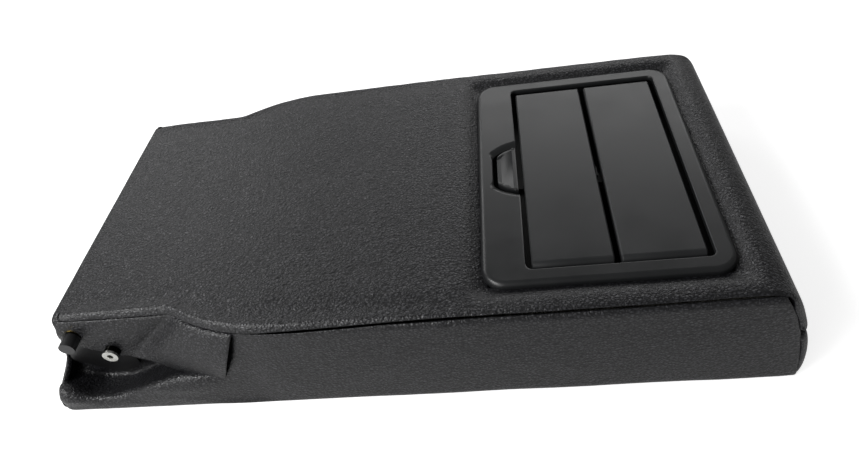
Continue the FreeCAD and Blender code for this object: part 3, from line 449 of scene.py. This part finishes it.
def side_section(x):
    """Points up a side at x, as (distance from the middle, z): plain, and hollowed behind a lip."""
    levels = [BASE_EDGE + (TOP_Z - EDGE - BASE_EDGE) * step / 22 for step in range(23)]
    half = side_out(x, TOP_Z - EDGE)
    roll = edge_roll(EDGE, math.pi / 2 - seam_turn(x) - SEAM_GAP)[1:]
    plain = [Vector((HALF_BASE - inward * MM, z * MM)) for inward, z in SIDE_FOOT]
    plain += [Vector((side_out(x, z), z)) for z in levels]
    plain += [Vector((half - below, TOP_Z - inward)) for inward, below in roll]
    outer = HALF_BASE / MM
    wall = BRACKET[0].y / MM + 0.5
    crest = height_on(LIP, x) / MM
    low = max(4.5, crest - 8.5)
    hollow = curve([
        (outer - 5, 0.9), (outer - 1, 0.1), (outer, 2.5), (outer + 0.3, crest * 0.55), (outer - 0.7, crest - 2.4),
        (outer - 3, crest), (outer - 7, crest - 0.8), (outer - 14, mix(crest, low, 0.6)), (wall + 2.5, low),
        (wall, low + 3), (wall, 40), (wall - 0.5, 61),
    ], len(plain))
    return plain, hollow


def side_leather(label, side, material):
    """Long side panel, with the lip and the hollow under the hinge in one piece with it."""
    count = round((FRONT_BASE - REAR_BASE) / CELL)
    columns = [("along", step / count) for step in range(count)]
    columns += [("corner", step) for step in edge_roll(CORNER_EDGE, CORNER_TURN)]
    rows = []
    for kind, value in columns:
        x = FRONT_BASE - CORNER_EDGE
        if kind == "along":
            x = mix(REAR_BASE + 1 * MM, x, value)
        row = []
        for plain, hollow in zip(*side_section(x)):
            leaned = x + SEAM_LEAN * (TOP_Z - max(plain.y, 28 * MM))
            out, z = hollow.lerp(plain, smooth_step(STEP_START + 15 * MM, GUSSET_END, leaned))
            out += rumple(Vector((x, side, z))) * 0.8 + folds(x, z)
            end = height_on(CORNER_SEAM, z)
            start = REAR_BASE + REAR_FLARE * z / TOP_Z - 1.2 * MM
            if kind == "along":
                place = mix(start, end - CORNER_EDGE, value)
                tuck = 2.5 * MM * (1 - smooth_step(0, 5 * MM, place - start))
                row.append(Vector((place, side * (out - tuck), z)))
            else:
                inward, below = value
                row.append(Vector((end - inward, side * (out - below), max(z, LEATHER))))
        rows.append(row)
    bm = shaped_grid(rows)
    panel = leather_panel(f"{label}_side_leather", bm, (0, side, 0), material, f"{label}_side_panel")


def front_leather(material):
    """Lower panel of the front end, from the seam across the end to the underside."""
    rows = swept_panel(curve(FRONT_FOOT, 22), 1, lambda spot: side_out(FRONT_BASE, spot.y),
                       lambda spot: (END_EDGE, END_TURN - SEAM_GAP))
    for row in rows:
        for spot in row:
            spot.x += rumple(spot) * 0.6
    leather_panel("front_leather", shaped_grid(rows), (1, 0, 0), material, "front_panel")


def rear_leather(material):
    """Panel of the hinge end: full width at the underside, drawn in behind the hinges."""
    rows = swept_panel(curve(REAR_RISE, 26), 1, lambda spot: height_on(REAR_EDGE, spot.y),
                       lambda spot: (REAR_ROLL, REAR_TURN))
    for row in rows:
        for spot in row:
            spot.x += rumple(spot) * 0.6
    leather_panel("rear_leather", shaped_grid(rows), (-1, 0, 0), material, "rear_panel")


def base_leather(material):
    """Underside panel, sewn in just inside the lower edge."""
    rows = swept_panel(curve(BASE_RUN, 76), -1, lambda spot: HALF_BASE - 3 * MM,
                       lambda spot: (BASE_EDGE, BASE_TURN))
    leather_panel("base_leather", shaped_grid(rows), (0, 0, -1), material, "base_panel")


def gusset(label, side, material):
    """Leather that hangs over the hinge bracket from the top seam, creased from the seam's corner to the pivot."""
    free = curve(GUSSET_REAR, 22) + curve(GUSSET_FRONT, 24)[1:]
    seam = [mix(GUSSET_START, STEP_START, step / 21) for step in range(22)]
    seam += [mix(STEP_START, GUSSET_END, step / 23) for step in range(1, 24)]
    rows = []
    for x, edge in zip(seam, free):
        half = half_width(x)
        tucked = Vector((x, half - 4.6 * MM, TOP_Z - 5.6 * MM))
        lip = Vector((x, half - 1.2 * MM, TOP_Z - 4.6 * MM))
        shoulder = Vector((mix(x, edge.x, 0.1), half + 0.3 * MM, TOP_Z - 8 * MM))
        belly = shoulder.lerp(edge, 0.5) + Vector((0, 0.9 * MM, 0))
        fall = curve([spot / MM for spot in (tucked, lip, shoulder, belly, edge)], 24)
        past = (x - STEP_START) / (9 * MM)
        crease = -2.2 * math.exp(-past * past) + 2.6 * smooth_step(0.2, 1.1, past)
        row = []
        for step, spot in enumerate(fall):
            slack = math.sin(math.pi * step / (len(fall) - 1))
            out = spot.y + rumple(spot) * 0.7 + crease * MM * slack
            row.append(Vector((spot.x, side * out, spot.z)))
        rows.append(row)
    piece = leather_panel(f"{label}_gusset", shaped_grid(rows), (0, side, 0), material, f"{label}_hinge_flap")


def copied(node):
    """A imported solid's mesh, merged."""
    bm = bmesh.new()
    bm.from_mesh(frame["nodes"][node].data)
    bmesh.ops.remove_doubles(bm, verts=bm.verts, dist=0.01 * MM)
    return bm


def foam_filling(material):
    """Foam inside the leather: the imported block, drawn in where the leather steps in."""
    bm = copied("foam_core")
    limit = BRACKET[0].y - 3 * MM
    for vert in bm.verts:
        if vert.co.x < STEP_END:
            vert.co.y = max(-limit, min(limit, vert.co.y))
        vert.co.z = min(vert.co.z, FOAM_TOP)
    bmesh.ops.recalc_face_normals(bm, faces=bm.faces)
    mesh_piece("foam_filling", bm, material, "foam_core")


def lower_part(node):
    """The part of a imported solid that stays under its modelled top."""
    bm = copied(node)
    everything = bm.verts[:] + bm.edges[:] + bm.faces[:]
    bmesh.ops.bisect_plane(bm, geom=everything, plane_co=(0, 0, MECHANISM_TOP), plane_no=(0, 0, 1),
                           clear_outer=True)
    return bm


def both_ways(edge):
    """Points along one end of the slot or the button, and back along the other."""
    half = curve(edge, 20)
    return half + [Vector((spot.x, -spot.y)) for spot in reversed(half)]


def bezel_ring(low, high, half, corner, rear):
    """Closed ring in plan: four rounded corners, and the given points along its rear side."""
    def arc(x, y, start):
        turns = [math.radians(start + 90 * step / 8) for step in range(9)]
        return [Vector((x + corner * math.cos(turn), y + corner * math.sin(turn))) for turn in turns]

    front_x, rear_x, side_y = high - corner, low + corner, half - corner
    front = arc(front_x, -side_y, -90) + arc(front_x, side_y, 0)
    return front + arc(rear_x, side_y, 90) + rear + arc(rear_x, -side_y, 180)


def drawn_in(ring, distance):
    """A ring in plan, moved inwards."""
    moved = []
    for before, spot, after in zip(ring[-1:] + ring[:-1], ring, ring[1:] + ring[:1]):
        run = (after - before).normalized()
        moved.append(spot + Vector((-run.y, run.x)) * distance)
    return moved


def add_rings(bm, rings):
    """Adds a skin through closed rings of (place in plan, height)."""
    rows = [[Vector((spot.x, spot.y, z)) for spot, z in ring + ring[:1]] for ring in rings]
    skin = shaped_grid(rows)
    bmesh.ops.remove_doubles(skin, verts=skin.verts, dist=0.001 * MM)
    bmesh.ops.recalc_face_normals(skin, faces=skin.faces)
    mesh = bpy.data.meshes.new("skin")
    skin.to_mesh(mesh)
    skin.free()
    bm.from_mesh(mesh)
    bpy.data.meshes.remove(mesh)


def sharpen(bm):
    """Keeps the edges of a moulding that turn sharply crisp."""
    for edge in bm.edges:
        edge.smooth = len(edge.link_faces) < 2 or edge.calc_face_angle() < CRISP


def bezel_frame(material):
    """Moulded frame: a flat top rolled over at its outer edge, with finger scoops beside the button."""
    top = BEZEL[1].z
    low, high, half, corner = OPENING
    slot = both_ways(SLOT_EDGE)
    wall = bezel_ring(low, high, half, corner, slot)
    lip = bezel_ring(low - BEZEL_LIP, high + BEZEL_LIP, half + BEZEL_LIP, corner + BEZEL_LIP,
                     both_ways(SCOOP_EDGE))
    rear = [Vector((BEZEL[0].x, mix(40 * MM, -40 * MM, step / (len(slot) - 1)))) for step in range(len(slot))]
    outer = bezel_ring(BEZEL[0].x, BEZEL[1].x, BEZEL[1].y, BEZEL_CORNER, rear)
    rim = drawn_in(outer, BEZEL_RIM)

    def drop(spot):
        if spot.x < low + 0.1 * MM and abs(spot.y) < half / 2:
            return mix(BEZEL_LIP, SCOOP, smooth_step(11 * MM, 15 * MM, abs(spot.y)))
        return BEZEL_LIP

    drops = [drop(spot) for spot in wall]
    rings = [[(spot, top - BEZEL_THICK) for spot in wall]]
    rings.append([(spot, top - down) for spot, down in zip(wall, drops)])
    rings.append([(spot.lerp(edge, 0.4), top - down * 0.42) for spot, edge, down in zip(wall, lip, drops)])
    for share in (0, 0.04, 0.96, 1):
        rings.append([(spot.lerp(edge, share), top) for spot, edge in zip(lip, rim)])
    for inward, below in BEZEL_ROLL:
        rings.append([(spot, top - below * MM) for spot in drawn_in(outer, inward * MM)])
    bm = lower_part("bezel")
    add_rings(bm, rings)
    sharpen(bm)
    mesh_piece("bezel_frame", bm, material, "bezel")


def button_cap(material):
    """Push button with a raised rim at each end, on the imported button's wings and wedge."""
    top = BUTTON[1].z
    outline = both_ways(BUTTON_EDGE)
    front, end = BUTTON_EDGE[0][0] * MM, BUTTON_EDGE[0][1] * MM
    rear, rear_end = BUTTON_EDGE[-1][0] * MM, BUTTON_EDGE[-2][1] * MM

    def dished(spot):
        side = mix(rear_end, end, (spot.x - rear) / (front - rear))
        return top - BUTTON_DISH * smooth_step(1.2 * MM, 2.2 * MM, side - abs(spot.y))

    rings = [[(spot, MECHANISM_TOP) for spot in outline], [(spot, dished(spot) - 0.7 * MM) for spot in outline]]
    for inward, below in BUTTON_ROLL:
        rings.append([(spot, dished(spot) - below * MM) for spot in drawn_in(outline, inward * MM)])
    bm = lower_part("release_button")
    add_rings(bm, rings)
    rim = [edge for edge in bm.edges if edge.is_boundary]
    open_top = [edge for edge in rim if min(vert.co.z for vert in edge.verts) > top - 2 * MM]
    bmesh.ops.edgeloop_fill(bm, edges=open_top)
    sharpen(bm)
    mesh_piece("button_cap", bm, material, "release_button", "button")


def spring_strips(material):
    """The two bent strips under the button, which in the real part flatten towards the deck as it is pressed; here
    they are shown at rest, on a mesh of their own.
    """
    bm = copied("button_springs")
    piece = mesh_piece("spring_strips", bm, material, "button_springs", smooth=False)
    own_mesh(piece)


def linear(code):
    """Linear colour from an sRGB hex code."""
    parts = [int(code[i:i + 2], 16) / 255 for i in (1, 3, 5)]
    return [*(part / 12.92 if part <= 0.04045 else ((part + 0.055) / 1.055) ** 2.4 for part in parts), 1]


def emptied(owner):
    """A material or world with a node tree to be filled."""
    owner.use_nodes = True
    owner.node_tree.nodes.clear()
    return owner


def add(owner, kind, settings=None, **links):
    """Adds a node with its settings and links.

    The setting "stops" holds a colour band's (place, hex code) pairs. A link is a value for a socket, or the
    (node, output) that feeds it. Its key is the socket's name, or n and its number: for a Map Range, n1 to n4 are
    the low and high that come in and the low and high that go out.
    """
    tree = owner.node_tree
    node = tree.nodes.new(kind)
    for key, value in (settings or {}).items():
        if key == "stops":
            band = node.color_ramp.elements
            while len(band) < len(value):
                band.new(0.5)
            for element, (place, code) in zip(band, value):
                element.position = place
                element.color = linear(code)
        else:
            setattr(node, key, value)
    for key, value in links.items():
        by_number = key[0] == "n" and key[1:].isdigit()
        socket = node.inputs[int(key[1:]) if by_number else key.replace("_", " ")]
        if isinstance(value, tuple) and isinstance(value[0], bpy.types.Node):
            tree.links.new(value[0].outputs[value[1]], socket)
        else:
            socket.default_value = value
    return node


def pebble_leather():
    """Finished cowhide with an embossed pebble grain: small domes that catch the light, with the valleys between
    painted darker, in colour and in how strongly they reflect, as painted shade.

    The grain of the real hide is finer. It is drawn as coarse as it needs to show in the render.
    """
    hide = emptied(bpy.data.materials.new("pebble_leather"))
    plain = (add(hide, "ShaderNodeTexCoord"), "Object")
    place = (add(hide, "ShaderNodeMapping", Vector=plain, Scale=(0.75, 1, 1)), "Vector")
    warp = add(hide, "ShaderNodeTexNoise", Vector=place, Scale=1 / GRAIN_WARP, Detail=2.0)
    bent = add(hide, "ShaderNodeMixRGB", {"blend_type": "LINEAR_LIGHT"}, Fac=0.0014, Color1=place,
               Color2=(warp, "Color"))
    valleys = add(hide, "ShaderNodeTexVoronoi", {"feature": "DISTANCE_TO_EDGE"}, Vector=(bent, "Color"),
                  Scale=1 / GRAIN)
    domes = add(hide, "ShaderNodeMapRange", {"interpolation_type": "SMOOTHSTEP"}, Value=(valleys, "Distance"),
                n1=0.0, n2=0.4, n3=0.0, n4=1.0)
    creases = add(hide, "ShaderNodeTexNoise", Vector=place, Scale=1 / GRAIN_CREASE, Detail=1.0, Roughness=0.5)
    height = add(hide, "ShaderNodeMath", {"operation": "MULTIPLY_ADD"}, n0=(creases, "Fac"), n1=4.0,
                 n2=(domes, "Result"))
    broad = add(hide, "ShaderNodeTexNoise", Vector=plain, Scale=1 / HIDE_PATCH, Detail=3.0)
    # Painted shade: the colour darkens in the grain's valleys, over a tone that varies at random across the hide.
    tone_with_valley_shade = add(hide, "ShaderNodeMath", {"operation": "MULTIPLY_ADD"}, n0=(broad, "Fac"), n1=0.3,
               n2=(domes, "Result"))
    colour = add(hide, "ShaderNodeValToRGB", {"stops": [(0.2, "#0f0f11"), (0.7, "#1d1d20"), (1.0, "#27272b")]},
                 Fac=(tone_with_valley_shade, "Value"))
    gloss = add(hide, "ShaderNodeMapRange", Value=(height, "Value"), n1=1.4, n2=3.8, n3=0.46, n4=0.36)
    # Painted shade and highlight: the valleys reflect less strongly than the domes.
    sheen_with_valley_shade = add(hide, "ShaderNodeMapRange", Value=(domes, "Result"), n1=0.0, n2=1.0, n3=0.4, n4=0.7)
    bump = add(hide, "ShaderNodeBump", Strength=1.0, Distance=GRAIN_DEPTH, Height=(height, "Value"))
    skin = add(hide, "ShaderNodeBsdfPrincipled", Base_Color=(colour, "Color"), Roughness=(gloss, "Result"),
               Normal=(bump, "Normal"), IOR=1.5, Specular_IOR_Level=(sheen_with_valley_shade, "Result"))
    add(hide, "ShaderNodeOutputMaterial", Surface=(skin, "BSDF"))
    return hide


def dark_skin(name, light, dark, roughness):
    """What the mouldings, the paint and the rubber share: a dark satin skin, finely textured, with faint scuffs.

    The texture is drawn coarser than real, so that it shows in the render.
    """
    shell = emptied(bpy.data.materials.new(name))
    place = (add(shell, "ShaderNodeTexCoord"), "Object")
    texture = add(shell, "ShaderNodeTexNoise", Vector=place, Scale=1 / SPARK_GRAIN, Detail=2.0)
    scuffs = add(shell, "ShaderNodeTexNoise", Vector=place, Scale=1 / SCUFF, Detail=5.0, Roughness=0.65)
    colour = add(shell, "ShaderNodeValToRGB", {"stops": [(0.3, dark), (0.7, light)]}, Fac=(scuffs, "Fac"))
    gloss = add(shell, "ShaderNodeMapRange", Value=(scuffs, "Fac"), n1=0.3, n2=0.7, n3=roughness - 0.04,
                n4=roughness + 0.05)
    bump = add(shell, "ShaderNodeBump", Strength=0.15, Distance=0.05 * MM, Height=(texture, "Fac"))
    skin = add(shell, "ShaderNodeBsdfPrincipled", Base_Color=(colour, "Color"), Roughness=(gloss, "Result"),
               Normal=(bump, "Normal"), IOR=1.5)
    add(shell, "ShaderNodeOutputMaterial", Surface=(skin, "BSDF"))
    return shell


def lid_abs():
    """Moulded ABS with a spark-eroded texture: an even satin that turns grey where it faces the light."""
    return dark_skin("lid_abs", "#232425", "#1d1e1f", 0.36)


def bezel_abs():
    """The same ABS in the bezel and the button, a shade darker and glossier, so that their edges gleam."""
    return dark_skin("bezel_abs", "#1c1d1e", "#171819", 0.34)


def tub_abs():
    """Plain black ABS inside the cup holder: matt, and nearly lost in its own shadow."""
    return dark_skin("tub_abs", "#0f0f10", "#0b0b0c", 0.5)


def black_enamel():
    """Stoved black enamel on pressed steel: deep black, with a soft sheen on its bends."""
    return dark_skin("black_enamel", "#121213", "#0c0c0d", 0.35)


def buffer_rubber():
    """Moulded black rubber: greyer than the enamel, with a dull sheen round the sleeve."""
    return dark_skin("buffer_rubber", "#2a2a2b", "#1e1e1f", 0.4)


def bright_steel():
    """Drawn steel, bare: mirror-like, with duller patches from handling."""
    steel = emptied(bpy.data.materials.new("bright_steel"))
    place = (add(steel, "ShaderNodeTexCoord"), "Object")
    patches = add(steel, "ShaderNodeTexNoise", Vector=place, Scale=1 / STEEL_PATCH, Detail=4.0)
    colour = add(steel, "ShaderNodeValToRGB", {"stops": [(0.35, "#c9c9c9"), (0.7, "#a5a5a5")]},
                 Fac=(patches, "Fac"))
    gloss = add(steel, "ShaderNodeMapRange", Value=(patches, "Fac"), n1=0.3, n2=0.7, n3=0.2, n4=0.35)
    skin = add(steel, "ShaderNodeBsdfPrincipled", Base_Color=(colour, "Color"), Roughness=(gloss, "Result"),
               Metallic=1.0)
    add(steel, "ShaderNodeOutputMaterial", Surface=(skin, "BSDF"))
    return steel


def zinc_plate():
    """Turned steel, zinc plated: yellow round the collars, the shank painted near black as a painted reflection of
    the dark leather round it, bright on the end.
    """
    plate = emptied(bpy.data.materials.new("zinc_plate"))
    place = (add(plate, "ShaderNodeTexCoord"), "Object")
    patches = add(plate, "ShaderNodeTexNoise", Vector=place, Scale=1 / STEEL_PATCH, Detail=4.0)
    silver = add(plate, "ShaderNodeValToRGB", {"stops": [(0.35, "#d6d6d2"), (0.7, "#b9b8b2")]},
                 Fac=(patches, "Fac"))
    parts = add(plate, "ShaderNodeSeparateXYZ", Vector=place)
    out = add(plate, "ShaderNodeMath", {"operation": "ABSOLUTE"}, n0=(parts, "Y"))
    # Painted reflection: past the collar the shank is painted near black, standing in for the dark leather it
    # reflects.
    dark_shank_share = add(plate, "ShaderNodeMapRange", Value=(out, "Value"), n1=PAINTED_DARK_SHANK[0], n2=PAINTED_DARK_SHANK[1], n3=0.0, n4=1.0)
    worn = add(plate, "ShaderNodeMapRange", Value=(out, "Value"), n1=WORN_END[0], n2=WORN_END[1], n3=0.0, n4=1.0)
    shank = add(plate, "ShaderNodeMixRGB", Fac=(dark_shank_share, "Result"), Color1=linear("#b39a55"),
                Color2=linear("#1c1c1a"))
    colour = add(plate, "ShaderNodeMixRGB", Fac=(worn, "Result"), Color1=(shank, "Color"),
                 Color2=(silver, "Color"))
    gloss = add(plate, "ShaderNodeMapRange", Value=(patches, "Fac"), n1=0.3, n2=0.7, n3=0.12, n4=0.27)
    skin = add(plate, "ShaderNodeBsdfPrincipled", Base_Color=(colour, "Color"), Roughness=(gloss, "Result"),
               Metallic=1.0)
    add(plate, "ShaderNodeOutputMaterial", Surface=(skin, "BSDF"))
    return plate


def moulded_foam():
    """Moulded polyurethane foam: drab, matt and full of pores.

    The pores are drawn coarser than real, so that they show, and each is painted darker towards its middle as
    painted shade in the hollow.
    """
    foam = emptied(bpy.data.materials.new("moulded_foam"))
    place = (add(foam, "ShaderNodeTexCoord"), "Object")
    pores = add(foam, "ShaderNodeTexVoronoi", Vector=place, Scale=1 / FOAM_PORE)
    # Painted shade: each pore is darker towards its middle.
    colour = add(foam, "ShaderNodeValToRGB", {"stops": [(0.1, "#4b4a46"), (0.6, "#6d6b64")]},
                 Fac=(pores, "Distance"))
    bump = add(foam, "ShaderNodeBump", Strength=0.6, Distance=0.4 * MM, Height=(pores, "Distance"))
    skin = add(foam, "ShaderNodeBsdfPrincipled", Base_Color=(colour, "Color"), Roughness=0.95,
               Normal=(bump, "Normal"))
    add(foam, "ShaderNodeOutputMaterial", Surface=(skin, "BSDF"))
    return foam


def dress_nodes(materials):
    """Gives every CAD node the material of its slot."""
    slots = {part["node"]: part["material_slot"] for part in frame["record"]["subparts"]}
    for node, piece in frame["nodes"].items():
        piece.data.materials.clear()
        piece.data.materials.append(materials[slots[node]])


def break_edges(node, width):
    """Small rounding along a moulded or turned piece's edges."""
    piece = frame["nodes"][node]
    weld = piece.modifiers.new("Weld", "WELD")
    weld.merge_threshold = 0.005 * MM
    bevel = piece.modifiers.new("Edges", "BEVEL")
    bevel.width = width
    bevel.segments = 3
    bevel.limit_method = "ANGLE"
    bevel.angle_limit = math.radians(32)
    bevel.harden_normals = True


def white_floor():
    """White floor that takes the soft shadow, lifted for the camera and a little for the object's sheen."""
    bm = bmesh.new()
    bmesh.ops.create_grid(bm, x_segments=1, y_segments=1, size=FLOOR_HALF)
    mesh = bpy.data.meshes.new("floor")
    bm.to_mesh(mesh)
    bm.free()
    floor = bpy.data.objects.new("floor", mesh)
    bpy.context.collection.objects.link(floor)
    paint = emptied(bpy.data.materials.new("white_floor"))
    path = add(paint, "ShaderNodeLightPath")
    plain = add(paint, "ShaderNodeBsdfDiffuse", Color=linear("#e0e0e0"))
    white = add(paint, "ShaderNodeEmission", Color=linear("#ffffff"), Strength=FLOOR_LIFT)
    lifted = add(paint, "ShaderNodeAddShader", n0=(plain, "BSDF"), n1=(white, "Emission"))
    share = add(paint, "ShaderNodeMath", {"operation": "MULTIPLY_ADD"}, n0=(path, "Is Glossy Ray"),
                n1=FLOOR_IN_SHEEN, n2=(path, "Is Camera Ray"))
    both = add(paint, "ShaderNodeMixShader", n0=(share, "Value"), n1=(plain, "BSDF"), n2=(lifted, "Shader"))
    add(paint, "ShaderNodeOutputMaterial", Surface=(both, "Shader"))
    mesh.materials.append(paint)


def studio_light():
    """White sky, dim for everything but the camera, and soft lamps mostly from behind and the left."""
    sky = emptied(bpy.data.worlds.new("studio"))
    bpy.context.scene.world = sky
    path = add(sky, "ShaderNodeLightPath")
    level = add(sky, "ShaderNodeMapRange", Value=(path, "Is Camera Ray"), n1=0.0, n2=1.0, n3=SKY_LIGHT,
                n4=SKY_SEEN)
    glow = add(sky, "ShaderNodeBackground", Color=linear("#ffffff"), Strength=(level, "Result"))
    add(sky, "ShaderNodeOutputWorld", Surface=(glow, "Background"))
    for name, place, aim, width, height, watts in LAMPS:
        lamp = bpy.data.lights.new(name, "AREA")
        lamp.shape = "RECTANGLE"
        lamp.size = width
        lamp.size_y = height
        lamp.energy = watts
        holder = bpy.data.objects.new(name, lamp)
        holder.location = place
        holder.rotation_euler = (Vector(aim) - Vector(place)).to_track_quat("-Z", "Y").to_euler()
        bpy.context.collection.objects.link(holder)


def camera():
    """Camera at the photograph's place and angle."""
    level = math.cos(CAMERA_PITCH)
    ahead = Vector((math.sin(CAMERA_YAW) * level, math.cos(CAMERA_YAW) * level, -math.sin(CAMERA_PITCH)))
    right = Vector((math.cos(CAMERA_YAW), -math.sin(CAMERA_YAW), 0))
    up = right.cross(ahead)
    tilted = right * math.cos(CAMERA_ROLL) + up * math.sin(CAMERA_ROLL)
    upright = up * math.cos(CAMERA_ROLL) - right * math.sin(CAMERA_ROLL)
    data = bpy.data.cameras.new("camera")
    data.sensor_width = SENSOR
    data.lens = SENSOR * FOCAL_PIXELS / IMAGE_WIDTH
    data.clip_start = 0.01
    holder = bpy.data.objects.new("camera", data)
    turned = Matrix((tilted, upright, -ahead)).transposed().to_4x4()
    holder.matrix_world = Matrix.Translation(CAMERA_PLACE) @ turned
    bpy.context.collection.objects.link(holder)
    bpy.context.scene.camera = holder


finishes = {
    "leather": pebble_leather(),
    "foam": moulded_foam(),
    "black_paint": black_enamel(),
    "plated_steel": zinc_plate(),
    "bright_steel": bright_steel(),
    "buffer_rubber": buffer_rubber(),
    "tub_plastic": tub_abs(),
    "bezel_plastic": bezel_abs(),
    "lid_plastic": lid_abs(),
}
finishes["button_plastic"] = finishes["bezel_plastic"]
dress_nodes(finishes)
for rounded_node, edge_width in ROUNDED.items():
    break_edges(rounded_node, edge_width)
bezel_frame(finishes["bezel_plastic"])
button_cap(finishes["button_plastic"])
spring_strips(finishes["bright_steel"])
top_leather(finishes["leather"])
front_leather(finishes["leather"])
rear_leather(finishes["leather"])
base_leather(finishes["leather"])
foam_filling(finishes["foam"])
for hand, sign in (("left", 1), ("right", -1)):
    side_leather(hand, sign, finishes["leather"])
    gusset(hand, sign, finishes["leather"])
white_floor()
studio_light()
camera()
bpy.context.scene.view_settings.view_transform = "Standard"
